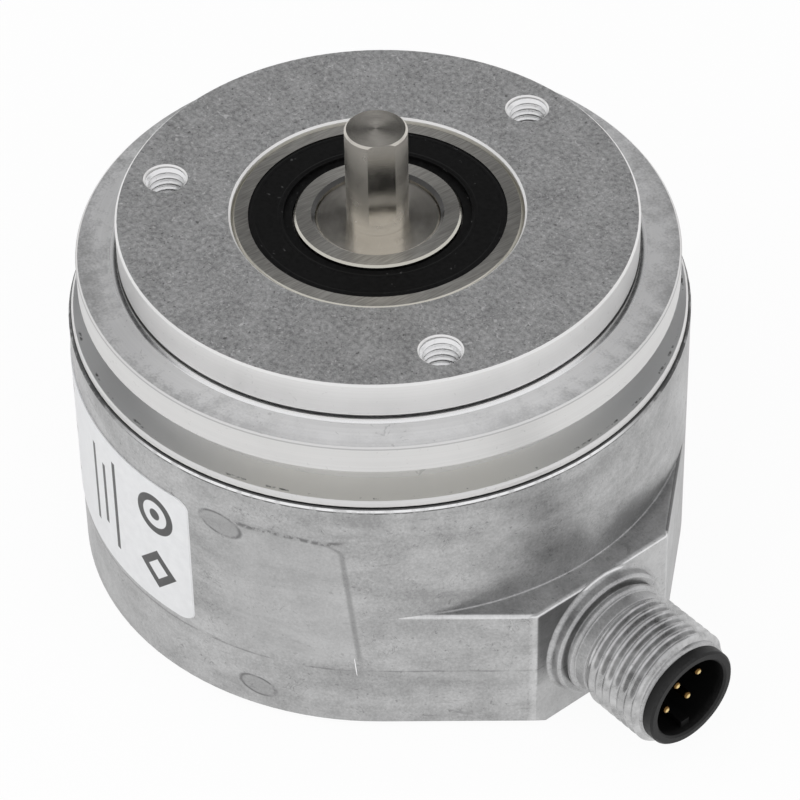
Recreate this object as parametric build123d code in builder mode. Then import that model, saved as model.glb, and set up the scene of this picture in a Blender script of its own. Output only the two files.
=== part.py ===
"""Incremental rotary encoder with a round servo flange, a solid shaft and a radial M12 connector.

The shaft points up (+Z), the connector points along +X, and the origin is on the shaft axis in the
front face of the pilot. All lengths are in millimetres, all angles in degrees.
"""

import os
from math import acos, atan2, cos, degrees, hypot, radians, sin

from build123d import *

os.makedirs("parts", exist_ok=True)

# Servo flange
pilot_radius = 25.0
pilot_height = 4.0
relief_depth = 0.4
relief_width = 0.6
ring_inset = 1.1
ring_thickness = 2.9
servo_groove_depth = 2.5
servo_groove_height = 3.1
lip_inset = 0.3
lip_thickness = 0.8
edge_break = 0.2
mount_hole_radius = 2.0
mount_hole_depth = 8.5
mount_hole_sink = 0.15
mount_hole_inset = 4.0
mount_hole_angle = -24.0
mount_hole_count = 3

# Housing
housing_length = 28.8
housing_wall = 2.4
floor_thickness = 2.6
housing_edge = 0.8
spigot_wall = 6.05
pocket_width = 5.0
pocket_roof = 2.5
o_ring_section = 1.5
o_ring_depth = 1.2

# Wedge-shaped boss that carries the connector
pad_stand = 2.4
pad_half_width = 8.3
boss_height = 15.0
boss_edge_radius = 0.8

# Connector, measured from the shaft axis
connector_height = 8.1
thread_core_radius = 5.4
thread_length = 7.7
sleeve_wall = 0.5
base_ring_step = 1.35
base_ring_length = 1.4
base_fillet = 0.45
groove_length = 0.4
collar_step = 0.6
collar_length = 0.6
neck_step = 0.2
neck_length = 1.3
rim_inset = 0.2
rim_width = 0.95
rim_length = 1.2
insert_reach = 5.9
insert_seal_place = 3.0
insert_seal_section = 1.1
socket_depth = 7.5
key_depth = 0.8
key_width = 1.0
key_recess = 0.8
contact_radius = 0.4
contact_pitch_radius = 2.7
contact_ring_angles = (62.0, 122.0, 182.0)
contact_recess = 0.45
contact_tip_radius = 0.32

# Ball bearings, 12 x 28 x 8
bearing_bore_radius = 6.0
bearing_outer_radius = 14.0
bearing_width = 8.0
bearing_recess = 0.3
ball_radius = 2.381
ball_count = 8
inner_shoulder_reach = 1.5
outer_shoulder_reach = 1.6
inner_land_step = 0.5
seal_seat_step = 0.75
cage_rise = 0.9
seal_recess = 0.05
seal_thickness = 0.9
seal_lip_width = 0.85
seal_lip_step = 0.35
ring_chamfer = 0.35
bearing_tube_wall = 2.6
land_thickness = 3.0
spring_height = 1.0
spring_thickness = 0.4

# Shaft and what it carries
shaft_radius = 3.0
shaft_length = 9.8
shoulder_depth = 0.8
flat_depth = 0.3
flat_angle = -29.4
flat_end_height = 0.4
neck_relief = 0.05
spacer_wall = 1.6
clip_thickness = 1.0
clip_groove_depth = 0.6
clip_width = 1.9
clip_opening = 70.0
shaft_end_length = 1.0
hub_radius = 8.0
hub_thickness = 1.2
hub_spigot_radius = 3.0
hub_spigot_length = 3.0
disc_rim = 0.5
disc_thickness = 0.5
disc_bore_radius = 4.0
slot_count = 72
slot_length = 1.8
slot_share = 0.5
index_length = 1.6
hub_screw_radius = 1.5
hub_screw_length = 8.0
hub_screw_head_radius = 2.75
hub_screw_head_height = 1.4

# Scanning unit
scanning_height = 7.7
air_gap = 0.8
holder_half_angle = 21.0
led_radius = 1.5
led_length = 4.4
lead_radius = 0.25
lead_pitch = 2.0
lead_drop = 1.4
lead_clearance = 1.1
lead_channel_half_height = 1.0
lead_channel_margin = 0.6
holder_screw_spacing = 8.8
holder_screw_length = 6.0
sensor_gap = 0.6
sensor_width = 6.0
sensor_length = 5.0
sensor_thickness = 0.9

# Circuit board
board_margin = 1.7
board_thickness = 1.6
board_hole_radius = 5.0
board_flat_depth = 1.4
standoff_inset = 1.8
standoff_width = 3.8
board_screw_radius = 1.0
board_screw_length = 5.0
board_screw_head_radius = 1.9
board_screw_head_height = 1.3

# Screws that pull the housing against the flange
column_inset = 2.4
column_radius = 3.1
column_foot_radius = 4.3
column_foot_height = 6.0
column_angle = 28.0
housing_screw_radius = 1.5
housing_screw_length = 25.0
housing_screw_head_radius = 2.75
housing_screw_head_height = 3.0
housing_screw_key_radius = 1.25
housing_screw_sink = 0.3
tap_run_out = 0.8

# Label
label_start = -76.7
label_sweep = 98.0
label_top = -15.2
label_height = 15.9
label_corner = 1.2
label_thickness = 0.12

# Clearances
press_gap = 0.01
slide_gap = 0.05
race_gap = 0.06
lip_gap = 0.15
cage_end_gap = 0.31
hole_gap = 0.1
wide_gap = 0.4

# Radii, worked out from the bearing to the outside
ball_pitch_radius = (bearing_bore_radius + bearing_outer_radius) / 2
race_radius = ball_radius + race_gap
inner_shoulder_radius = ball_pitch_radius - inner_shoulder_reach
inner_land_radius = inner_shoulder_radius - inner_land_step
outer_shoulder_radius = ball_pitch_radius + outer_shoulder_reach
seal_seat_radius = outer_shoulder_radius + seal_seat_step
outer_seat_radius = bearing_outer_radius + press_gap
journal_radius = bearing_bore_radius - press_gap
clip_groove_radius = bearing_bore_radius - clip_groove_depth
tube_radius = bearing_outer_radius + bearing_tube_wall
spigot_inner_radius = tube_radius + pocket_width
spigot_radius = spigot_inner_radius + spigot_wall
housing_inner_radius = spigot_radius + slide_gap
housing_radius = housing_inner_radius + housing_wall
ring_radius = housing_radius - ring_inset
lip_radius = housing_radius - lip_inset
servo_groove_radius = ring_radius - servo_groove_depth
mount_pitch_radius = pilot_radius - mount_hole_inset
column_pitch_radius = spigot_inner_radius + column_inset
standoff_pitch_radius = spigot_inner_radius + standoff_inset
board_radius = housing_inner_radius - board_margin
board_flat = board_radius - board_flat_depth
track_radius = tube_radius + pocket_width / 2
slot_inner_radius = track_radius - slot_length / 2
slot_outer_radius = track_radius + slot_length / 2
disc_radius = slot_outer_radius + disc_rim
index_outer_radius = slot_inner_radius - wide_gap
index_inner_radius = index_outer_radius - index_length
pad_distance = housing_radius + pad_stand

# Heights of the flange and the housing
ring_top = -pilot_height
groove_top = ring_top - ring_thickness
lip_top = groove_top - servo_groove_height
seam = lip_top - lip_thickness
rear_face = seam - housing_length
floor_top = rear_face + floor_thickness
boss_top = rear_face + boss_height
connector_axis_z = rear_face + connector_height
screw_seat = rear_face + housing_screw_sink + housing_screw_head_height

# Heights of the bearings
front_bearing_top = -bearing_recess
front_bearing_end = front_bearing_top - bearing_width
land_end = front_bearing_end - land_thickness
rear_bearing_top = land_end - spring_height
rear_bearing_end = rear_bearing_top - bearing_width
tube_end = rear_bearing_end - edge_break
pocket_top = -mount_hole_depth - pocket_roof

# Heights of the disc and the board
clip_end = rear_bearing_end - clip_thickness
shaft_end = clip_end - shaft_end_length
disc_top = shaft_end - hub_thickness
disc_end = disc_top - disc_thickness
spigot_end = disc_top + scanning_height
board_top = disc_end - sensor_gap - sensor_thickness
board_end = board_top - board_thickness

# Radii of the connector, from the core of its thread
connector_bore_radius = thread_core_radius - sleeve_wall
neck_radius = thread_core_radius + neck_step
collar_radius = thread_core_radius + collar_step
base_ring_radius = thread_core_radius + base_ring_step
rim_radius = thread_core_radius - rim_inset
socket_radius = rim_radius - rim_width

# Distances along the connector
base_ring_end = pad_distance + base_ring_length
collar_start = base_ring_end + groove_length
collar_end = collar_start + collar_length
neck_end = collar_end + neck_length
metal_end = neck_end + thread_length
rim_end = metal_end + rim_length
insert_start = pad_distance - insert_reach
connector_axis = Axis((0, 0, connector_axis_z), (1, 0, 0))
connector_side = Plane((0, 0, connector_axis_z), x_dir=(1, 0, 0), z_dir=(0, -1, 0))

mount_angles = [mount_hole_angle + i * 360 / mount_hole_count for i in range(mount_hole_count)]
column_angles = [column_angle + i * 120 for i in range(3)]


def around(radius, angles):
    """Places on a circle about the shaft axis, for use with Locations."""
    return [(radius * cos(radians(a)), radius * sin(radians(a))) for a in angles]


def across(distance):
    """A plane square to the connector axis; its local x is +Y and its local y is +Z."""
    return Plane((distance, 0, connector_axis_z), x_dir=(0, 1, 0), z_dir=(1, 0, 0))


def finish(builder, name):
    """Label the piece in hand and write it."""
    builder.part.label = name
    export_step(builder.part, f"parts/{name}.step")


# Flange: pilot, clamping ring, servo groove, spigot and bearing tube in one turned casting
with BuildPart() as flange:
    with BuildSketch(Plane.XZ):
        Polygon(
            (outer_seat_radius + edge_break, 0),
            (pilot_radius - edge_break, 0),
            (pilot_radius, -edge_break),
            (pilot_radius, ring_top + relief_depth),
            (pilot_radius - relief_depth, ring_top),
            (pilot_radius - relief_depth, ring_top - relief_depth),
            (pilot_radius, ring_top - relief_depth),
            (pilot_radius + relief_width, ring_top),
            (ring_radius - edge_break, ring_top),
            (ring_radius, ring_top - edge_break),
            (ring_radius, groove_top),
            (servo_groove_radius, groove_top),
            (servo_groove_radius, lip_top),
            (lip_radius - edge_break, lip_top),
            (lip_radius, lip_top - edge_break),
            (lip_radius, seam + edge_break),
            (lip_radius - edge_break, seam),
            (spigot_radius, seam),
            (spigot_radius, spigot_end + edge_break),
            (spigot_radius - edge_break, spigot_end),
            (spigot_inner_radius, spigot_end),
            (spigot_inner_radius, pocket_top),
            (tube_radius, pocket_top),
            (tube_radius, tube_end),
            (outer_seat_radius, tube_end),
            (outer_seat_radius, land_end),
            (outer_shoulder_radius + edge_break, land_end),
            (outer_shoulder_radius + edge_break, front_bearing_end),
            (outer_seat_radius, front_bearing_end),
            (outer_seat_radius, -edge_break),
            align=None,
        )
    revolve(axis=Axis.Z)
    o_ring_groove_top = seam - o_ring_depth
    o_ring_groove_height = o_ring_section + wide_gap
    o_ring_floor = housing_inner_radius - o_ring_section
    with BuildSketch(Plane.XZ):
        Polygon(
            (o_ring_floor, o_ring_groove_top),
            (housing_inner_radius, o_ring_groove_top),
            (housing_inner_radius, o_ring_groove_top - o_ring_groove_height),
            (o_ring_floor, o_ring_groove_top - o_ring_groove_height),
            align=None,
        )
    revolve(axis=Axis.Z, mode=Mode.SUBTRACT)
    with Locations(*around(mount_pitch_radius, mount_angles)):
        CounterSinkHole(
            radius=mount_hole_radius,
            counter_sink_radius=mount_hole_radius + mount_hole_sink,
            depth=mount_hole_depth,
            counter_sink_angle=90,
        )
    with BuildSketch(Plane.XY.offset(spigot_end)):
        with Locations(*around(column_pitch_radius, column_angles)):
            Circle(housing_screw_radius + press_gap)
    extrude(amount=screw_seat + housing_screw_length + tap_run_out - spigot_end, mode=Mode.SUBTRACT)
    with BuildSketch(Plane.XY.offset(spigot_end)):
        with Locations(*around(standoff_pitch_radius, mount_angles)):
            Circle(board_screw_radius)
    extrude(amount=board_screw_length, mode=Mode.SUBTRACT)
    with BuildSketch(Plane.XY.offset(pocket_top)):
        with Locations((-track_radius, -holder_screw_spacing / 2), (-track_radius, holder_screw_spacing / 2)):
            Circle(board_screw_radius)
    extrude(amount=pocket_roof, mode=Mode.SUBTRACT)
finish(flange, "flange")

# Housing: a cup with a wedge boss whose side walls run off tangent to the cup
boss_corner = hypot(pad_distance, pad_half_width)
tangent_angle = degrees(atan2(pad_half_width, pad_distance) + acos(housing_radius / boss_corner))
tangent_x = housing_radius * cos(radians(tangent_angle))
tangent_y = housing_radius * sin(radians(tangent_angle))
with BuildPart() as housing:
    with BuildSketch(Plane.XY.offset(rear_face)):
        Polygon(
            (tangent_x, -tangent_y),
            (pad_distance, -pad_half_width),
            (pad_distance, pad_half_width),
            (tangent_x, tangent_y),
            align=None,
        )
    extrude(amount=boss_height)
    under_edges = housing.faces().sort_by(Axis.Z)[0].edges().sort_by(Axis.X)[1:3]
    chamfer(under_edges, length=housing_edge)
    upright_edges = housing.edges().filter_by(Axis.Z).sort_by(Axis.X)[-2:]
    fillet(upright_edges, radius=boss_edge_radius)
    top_edges = housing.faces().sort_by(Axis.Z)[-1].edges().sort_by(Axis.X)[1:]
    fillet(top_edges, radius=boss_edge_radius / 2)
    with BuildSketch(Plane.XZ):
        Polygon(
            (0, seam),
            (housing_radius - edge_break, seam),
            (housing_radius, seam - edge_break),
            (housing_radius, rear_face + housing_edge),
            (housing_radius - housing_edge, rear_face),
            (0, rear_face),
            align=None,
        )
    revolve(axis=Axis.Z)
    with BuildSketch(Plane.XY.offset(floor_top)):
        Circle(housing_inner_radius)
    extrude(amount=seam - floor_top, mode=Mode.SUBTRACT)
    with BuildSketch(connector_side):
        with BuildLine():
            Polyline(
                (pad_distance, base_ring_radius + base_fillet),
                (pad_distance - housing_wall, base_ring_radius + base_fillet - housing_wall),
                (pad_distance - housing_wall, 0),
                (metal_end, 0),
                (metal_end, thread_core_radius - edge_break),
                (metal_end - edge_break, thread_core_radius),
                (neck_end, thread_core_radius),
                (neck_end, neck_radius),
                (collar_end, neck_radius),
                (collar_end, collar_radius - edge_break),
                (collar_end - edge_break, collar_radius),
                (collar_start, collar_radius),
                (collar_start, neck_radius),
                (base_ring_end, neck_radius),
                (base_ring_end, base_ring_radius - edge_break),
                (base_ring_end - edge_break, base_ring_radius),
                (pad_distance + base_fillet, base_ring_radius),
            )
            RadiusArc(
                (pad_distance + base_fillet, base_ring_radius),
                (pad_distance, base_ring_radius + base_fillet),
                base_fillet,
            )
        make_face()
    revolve(axis=connector_axis)
    with BuildSketch(Plane.XY.offset(floor_top)):
        with Locations(*around(column_pitch_radius, column_angles)):
            Circle(column_foot_radius)
    extrude(amount=column_foot_height - floor_thickness)
    with BuildSketch(Plane.XY.offset(floor_top)):
        with Locations(*around(column_pitch_radius, column_angles)):
            Circle(column_radius)
    extrude(amount=spigot_end - floor_top)
    with BuildSketch(Plane.XY.offset(rear_face)):
        with Locations(*around(column_pitch_radius, column_angles)):
            Circle(housing_screw_radius + hole_gap)
    extrude(amount=spigot_end - rear_face, mode=Mode.SUBTRACT)
    with BuildSketch(Plane.XY.offset(rear_face)):
        with Locations(*around(column_pitch_radius, column_angles)):
            Circle(housing_screw_head_radius + hole_gap)
    extrude(amount=housing_screw_head_height + housing_screw_sink, mode=Mode.SUBTRACT)
    with BuildSketch(across(housing_inner_radius - housing_wall)):
        Circle(connector_bore_radius)
    extrude(amount=metal_end - housing_inner_radius + housing_wall, mode=Mode.SUBTRACT)
finish(housing, "housing")

# O-ring between the spigot and the housing wall
with BuildPart() as housing_o_ring:
    with BuildSketch(Plane.XZ):
        with Locations(((o_ring_floor + housing_inner_radius) / 2, o_ring_groove_top - o_ring_groove_height / 2)):
            Circle(o_ring_section / 2 - press_gap)
    revolve(axis=Axis.Z)
finish(housing_o_ring, "housing_o_ring")

# Three cap screws driven from the rear
with BuildPart() as housing_screws:
    with BuildSketch(Plane.XY.offset(screw_seat - housing_screw_head_height)):
        with Locations(*around(column_pitch_radius, column_angles)):
            Circle(housing_screw_head_radius)
            RegularPolygon(housing_screw_key_radius, 6, major_radius=False, mode=Mode.SUBTRACT)
    extrude(amount=housing_screw_head_height / 2)
    with BuildSketch(Plane.XY.offset(screw_seat - housing_screw_head_height / 2)):
        with Locations(*around(column_pitch_radius, column_angles)):
            Circle(housing_screw_head_radius)
    extrude(amount=housing_screw_head_height / 2)
    with BuildSketch(Plane.XY.offset(screw_seat)):
        with Locations(*around(column_pitch_radius, column_angles)):
            Circle(housing_screw_radius)
    extrude(amount=housing_screw_length)
finish(housing_screws, "housing_screws")


# Both bearings are alike: two grooved rings, eight balls in a cage and two lip seals
def bearing_sketch_outer(top):
    """Half section of the outer ring, with its seal seats and the groove for the balls."""
    middle = top - bearing_width / 2
    seat = seal_recess + seal_thickness + slide_gap
    Polygon(
        (bearing_outer_radius - ring_chamfer, top),
        (bearing_outer_radius, top - ring_chamfer),
        (bearing_outer_radius, top - bearing_width + ring_chamfer),
        (bearing_outer_radius - ring_chamfer, top - bearing_width),
        (seal_seat_radius, top - bearing_width),
        (seal_seat_radius, top - bearing_width + seat),
        (outer_shoulder_radius, top - bearing_width + seat),
        (outer_shoulder_radius, top - seat),
        (seal_seat_radius, top - seat),
        (seal_seat_radius, top),
        align=None,
    )
    with Locations((ball_pitch_radius, middle)):
        Circle(race_radius, mode=Mode.SUBTRACT)


def bearing_sketch_inner(top):
    """Half section of the inner ring, with lands for the seal lips beside the groove."""
    middle = top - bearing_width / 2
    land = seal_recess + seal_thickness + slide_gap
    Polygon(
        (bearing_bore_radius + ring_chamfer, top),
        (inner_land_radius - edge_break, top),
        (inner_land_radius, top - edge_break),
        (inner_land_radius, top - land),
        (inner_shoulder_radius, top - land),
        (inner_shoulder_radius, top - bearing_width + land),
        (inner_land_radius, top - bearing_width + land),
        (inner_land_radius, top - bearing_width + edge_break),
        (inner_land_radius - edge_break, top - bearing_width),
        (bearing_bore_radius + ring_chamfer, top - bearing_width),
        (bearing_bore_radius, top - bearing_width + ring_chamfer),
        (bearing_bore_radius, top - ring_chamfer),
        align=None,
    )
    with Locations((ball_pitch_radius, middle)):
        Circle(race_radius, mode=Mode.SUBTRACT)


def seal_sketch(face, inward):
    """Half section of a seal: a flat ring whose lip steps back near the inner ring."""
    outside = face + inward * seal_recess
    inside = outside + inward * seal_thickness
    stepped = outside + inward * seal_lip_step
    lip_end = inner_land_radius + lip_gap + seal_lip_width
    Polygon(
        (seal_seat_radius - slide_gap, outside),
        (seal_seat_radius - slide_gap, inside),
        (inner_land_radius + lip_gap, inside),
        (inner_land_radius + lip_gap, stepped),
        (lip_end, stepped),
        (lip_end, outside),
        align=None,
    )


cage_inner_radius = inner_shoulder_radius + wide_gap
cage_outer_radius = outer_shoulder_radius - wide_gap
cage_drop = bearing_width / 2 - seal_recess - seal_thickness - cage_end_gap
for name, top in (("front", front_bearing_top), ("rear", rear_bearing_top)):
    middle = top - bearing_width / 2
    with BuildPart() as outer_ring:
        with BuildSketch(Plane.XZ):
            bearing_sketch_outer(top)
        revolve(axis=Axis.Z)
    finish(outer_ring, f"{name}_bearing_outer_ring")

    with BuildPart() as inner_ring:
        with BuildSketch(Plane.XZ):
            bearing_sketch_inner(top)
        revolve(axis=Axis.Z)
    finish(inner_ring, f"{name}_bearing_inner_ring")

    with BuildPart() as seals:
        with BuildSketch(Plane.XZ):
            seal_sketch(top, -1)
            seal_sketch(top - bearing_width, 1)
        revolve(axis=Axis.Z)
    finish(seals, f"{name}_bearing_seals")

    with BuildPart(Plane.XY.offset(middle)) as balls:
        with PolarLocations(ball_pitch_radius, ball_count):
            Sphere(ball_radius)
    finish(balls, f"{name}_bearing_balls")

    with BuildPart() as cage:
        with BuildSketch(Plane.XY.offset(middle - cage_drop)):
            Circle(cage_outer_radius)
            Circle(cage_inner_radius, mode=Mode.SUBTRACT)
        extrude(amount=cage_drop + cage_rise)
        with Locations(Plane.XY.offset(middle)):
            with PolarLocations(ball_pitch_radius, ball_count):
                Sphere(ball_radius + hole_gap, mode=Mode.SUBTRACT)
    finish(cage, f"{name}_bearing_cage")

# Curved washer that preloads the bearings
spring_inner_radius = outer_shoulder_radius + wide_gap
spring_outer_radius = bearing_outer_radius - hole_gap
spring_rise = spring_height - spring_thickness
spring_bend = (spring_outer_radius**2 + spring_rise**2) / (2 * spring_rise)
with BuildPart() as preload_spring:
    with BuildSketch(Plane.XZ):
        with BuildLine():
            low = rear_bearing_top
            crest = ThreePointArc(
                (-spring_outer_radius, low + spring_thickness),
                (0, low + spring_height),
                (spring_outer_radius, low + spring_thickness),
            )
            under = ThreePointArc(
                (-spring_outer_radius, low),
                (0, low + spring_rise),
                (spring_outer_radius, low),
            )
            Line(crest @ 0, under @ 0)
            Line(crest @ 1, under @ 1)
        make_face()
    extrude(amount=spring_outer_radius, both=True)
    with BuildSketch(Plane.XY.offset(rear_bearing_top)):
        Circle(spring_outer_radius)
        Circle(spring_inner_radius, mode=Mode.SUBTRACT)
    extrude(amount=spring_height, mode=Mode.INTERSECT)
finish(preload_spring, "preload_spring")

# Shaft: thin driving end with a flat, thick journal through both bearings, tapped rear end
with BuildPart() as shaft:
    with BuildSketch(Plane.XZ):
        Polygon(
            (0, shaft_length),
            (shaft_radius - edge_break, shaft_length),
            (shaft_radius, shaft_length - edge_break),
            (shaft_radius, flat_end_height),
            (shaft_radius - neck_relief, flat_end_height),
            (shaft_radius - neck_relief, -shoulder_depth),
            (journal_radius - edge_break, -shoulder_depth),
            (journal_radius, -shoulder_depth - edge_break),
            (journal_radius, rear_bearing_end),
            (clip_groove_radius, rear_bearing_end),
            (clip_groove_radius, clip_end),
            (journal_radius, clip_end),
            (journal_radius, shaft_end + edge_break),
            (journal_radius - edge_break, shaft_end),
            (0, shaft_end),
            align=None,
        )
    revolve(axis=Axis.Z)
    flat_plane = Plane.XY.offset(flat_end_height).rotated((0, 0, flat_angle))
    with BuildSketch(flat_plane):
        with Locations((shaft_radius - flat_depth, 0)):
            Rectangle(shaft_radius, 2 * shaft_radius, align=(Align.MIN, Align.CENTER))
    extrude(amount=shaft_length, mode=Mode.SUBTRACT)
    with BuildSketch(Plane.XY.offset(shaft_end)):
        Circle(hub_spigot_radius + press_gap)
    extrude(amount=hub_spigot_length, mode=Mode.SUBTRACT)
    with BuildSketch(Plane.XY.offset(shaft_end)):
        Circle(hub_screw_radius + press_gap)
    extrude(amount=hub_screw_length, mode=Mode.SUBTRACT)
finish(shaft, "shaft")

# Sleeve that keeps the two inner rings apart
with BuildPart() as bearing_spacer:
    with BuildSketch(Plane.XY.offset(rear_bearing_top)):
        Circle(bearing_bore_radius + spacer_wall)
        Circle(bearing_bore_radius, mode=Mode.SUBTRACT)
    extrude(amount=front_bearing_end - rear_bearing_top)
finish(bearing_spacer, "bearing_spacer")

# Open ring in the shaft groove, behind the rear bearing
with BuildPart() as retaining_ring:
    with BuildSketch(Plane.XY.offset(clip_end)):
        Circle(clip_groove_radius + clip_width)
        Circle(clip_groove_radius + press_gap, mode=Mode.SUBTRACT)
        with BuildLine():
            reach = 2 * (clip_groove_radius + clip_width)
            half = radians(clip_opening / 2)
            Polyline(
                (0, 0),
                (reach * cos(half), reach * sin(half)),
                (reach * cos(half), -reach * sin(half)),
                close=True,
            )
        make_face(mode=Mode.SUBTRACT)
        with Locations(*around(clip_groove_radius + clip_width / 2, (clip_opening / 2, -clip_opening / 2))):
            Circle(clip_width / 2)
    extrude(amount=clip_thickness)
finish(retaining_ring, "retaining_ring")

# Hub on the shaft end, with the code disc bonded under it
with BuildPart() as disc_hub:
    with BuildSketch(Plane.XY.offset(disc_top)):
        Circle(hub_radius)
    extrude(amount=hub_thickness)
    with BuildSketch(Plane.XY.offset(shaft_end)):
        Circle(hub_spigot_radius)
    extrude(amount=hub_spigot_length - edge_break)
    with BuildSketch(Plane.XY.offset(disc_top)):
        Circle(hub_screw_radius + hole_gap)
    extrude(amount=hub_thickness + hub_spigot_length, mode=Mode.SUBTRACT)
finish(disc_hub, "disc_hub")

slot_angle = 360 / slot_count * slot_share
with BuildPart() as code_disc:
    with BuildSketch(Plane.XY.offset(disc_end)):
        Circle(disc_radius)
        Circle(disc_bore_radius, mode=Mode.SUBTRACT)
        with PolarLocations(0, slot_count):
            Polygon(
                (slot_inner_radius, -slot_inner_radius * sin(radians(slot_angle / 2))),
                (slot_outer_radius, -slot_outer_radius * sin(radians(slot_angle / 2))),
                (slot_outer_radius, slot_outer_radius * sin(radians(slot_angle / 2))),
                (slot_inner_radius, slot_inner_radius * sin(radians(slot_angle / 2))),
                align=None,
                mode=Mode.SUBTRACT,
            )
        Polygon(
            (index_inner_radius, -index_inner_radius * sin(radians(slot_angle / 2))),
            (index_outer_radius, -index_outer_radius * sin(radians(slot_angle / 2))),
            (index_outer_radius, index_outer_radius * sin(radians(slot_angle / 2))),
            (index_inner_radius, index_inner_radius * sin(radians(slot_angle / 2))),
            align=None,
            mode=Mode.SUBTRACT,
        )
    extrude(amount=disc_thickness)
finish(code_disc, "code_disc")

with BuildPart() as hub_screw:
    with BuildSketch(Plane.XY.offset(disc_top - hub_screw_head_height)):
        Circle(hub_screw_head_radius)
        RegularPolygon(hub_screw_radius, 6, mode=Mode.SUBTRACT)
    extrude(amount=hub_screw_head_height / 2)
    with BuildSketch(Plane.XY.offset(disc_top - hub_screw_head_height / 2)):
        Circle(hub_screw_head_radius)
    extrude(amount=hub_screw_head_height / 2)
    with BuildSketch(Plane.XY.offset(disc_top)):
        Circle(hub_screw_radius)
    extrude(amount=hub_screw_length)
finish(hub_screw, "hub_screw")

# Holder for the light source, screwed to the roof of the flange pocket over the disc's track
holder_inner_radius = tube_radius + hole_gap
holder_outer_radius = spigot_inner_radius - hole_gap
holder_end = disc_top + air_gap
lead_height = spigot_end - lead_drop
opto_side = Plane((0, 0, 0), x_dir=(-1, 0, 0), z_dir=(0, 1, 0))
holder_screw_seat = pocket_top - holder_screw_length + pocket_roof
with BuildPart() as light_source_holder:
    with BuildSketch(Plane.XY.offset(holder_end)):
        with BuildLine():
            first = 180 - holder_half_angle
            wide = CenterArc((0, 0), holder_outer_radius, first, 2 * holder_half_angle)
            narrow = CenterArc((0, 0), holder_inner_radius, first, 2 * holder_half_angle)
            Line(wide @ 0, narrow @ 0)
            Line(wide @ 1, narrow @ 1)
        make_face()
    extrude(amount=pocket_top - holder_end)
    with BuildSketch(Plane.XY.offset(holder_end)):
        with Locations((-track_radius, 0)):
            Circle(led_radius + hole_gap)
    extrude(amount=lead_height + lead_channel_half_height - holder_end, mode=Mode.SUBTRACT)
    channel_width = lead_pitch + 2 * lead_channel_margin
    with BuildSketch(Plane.XY.offset(lead_height - lead_channel_half_height)):
        with Locations((-track_radius, 0)):
            Rectangle(2 * track_radius, channel_width, align=(Align.MAX, Align.CENTER))
    extrude(amount=2 * lead_channel_half_height, mode=Mode.SUBTRACT)
    with BuildSketch(Plane.XY.offset(holder_end)):
        with Locations((-track_radius, -holder_screw_spacing / 2), (-track_radius, holder_screw_spacing / 2)):
            Circle(board_screw_radius + hole_gap)
    extrude(amount=pocket_top - holder_end, mode=Mode.SUBTRACT)
    with BuildSketch(Plane.XY.offset(holder_end)):
        with Locations((-track_radius, -holder_screw_spacing / 2), (-track_radius, holder_screw_spacing / 2)):
            Circle(board_screw_head_radius + hole_gap)
    extrude(amount=holder_screw_seat - holder_end, mode=Mode.SUBTRACT)
finish(light_source_holder, "light_source_holder")

with BuildPart() as holder_screws:
    with BuildSketch(Plane.XY.offset(holder_screw_seat - board_screw_head_height)):
        with Locations((-track_radius, -holder_screw_spacing / 2), (-track_radius, holder_screw_spacing / 2)):
            Circle(board_screw_head_radius)
    extrude(amount=board_screw_head_height)
    with BuildSketch(Plane.XY.offset(holder_screw_seat)):
        with Locations((-track_radius, -holder_screw_spacing / 2), (-track_radius, holder_screw_spacing / 2)):
            Circle(board_screw_radius - press_gap)
    extrude(amount=holder_screw_length - edge_break)
finish(holder_screws, "holder_screws")

# Light source: a domed body whose two leads pass the edge of the disc down to the board
led_dome_centre = holder_end + led_radius
led_top = led_dome_centre + led_length - led_radius
lead_outer_radius = spigot_inner_radius + lead_clearance
with BuildPart() as led:
    with BuildSketch(opto_side):
        with BuildLine():
            Polyline(
                (track_radius + led_radius, led_dome_centre),
                (track_radius + led_radius, led_top),
                (track_radius, led_top),
                (track_radius, led_dome_centre - led_radius),
            )
            CenterArc((track_radius, led_dome_centre), led_radius, -90, 90)
        make_face()
    revolve(axis=Axis((-track_radius, 0, 0), (0, 0, 1)))
    for side in (1, -1):
        lead_side = Plane((0, side * lead_pitch / 2, 0), x_dir=(-1, 0, 0), z_dir=(0, 1, 0))
        with BuildLine(lead_side) as lead_path:
            FilletPolyline(
                (track_radius, led_top - lead_radius),
                (track_radius, lead_height),
                (lead_outer_radius, lead_height),
                (lead_outer_radius, board_end),
                radius=2 * lead_radius,
            )
        with BuildSketch(Plane((-track_radius, side * lead_pitch / 2, led_top - lead_radius))):
            Circle(lead_radius)
        sweep(path=lead_path.wires()[0])
finish(led, "led")

# Circuit board, cut out for the screw columns, the hub screw, the leads and the connector
standoff_length = spigot_end - board_top
with BuildPart() as circuit_board:
    with BuildSketch(Plane.XY.offset(board_end)):
        Circle(board_radius)
        Circle(board_hole_radius, mode=Mode.SUBTRACT)
        with Locations(*around(column_pitch_radius, column_angles)):
            Circle(column_radius + wide_gap, mode=Mode.SUBTRACT)
        with Locations((board_flat, 0)):
            Rectangle(board_radius, 2 * board_radius, align=(Align.MIN, Align.CENTER), mode=Mode.SUBTRACT)
        with Locations(*around(standoff_pitch_radius, mount_angles)):
            Circle(board_screw_radius + hole_gap, mode=Mode.SUBTRACT)
        with Locations((-lead_outer_radius, lead_pitch / 2), (-lead_outer_radius, -lead_pitch / 2)):
            Circle(lead_radius + hole_gap, mode=Mode.SUBTRACT)
    extrude(amount=board_thickness)
finish(circuit_board, "circuit_board")

with BuildPart() as sensor_chip:
    with BuildSketch(Plane.XY.offset(board_top)):
        with Locations((-track_radius, 0)):
            Rectangle(sensor_length, sensor_width)
    extrude(amount=sensor_thickness)
finish(sensor_chip, "sensor_chip")

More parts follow.
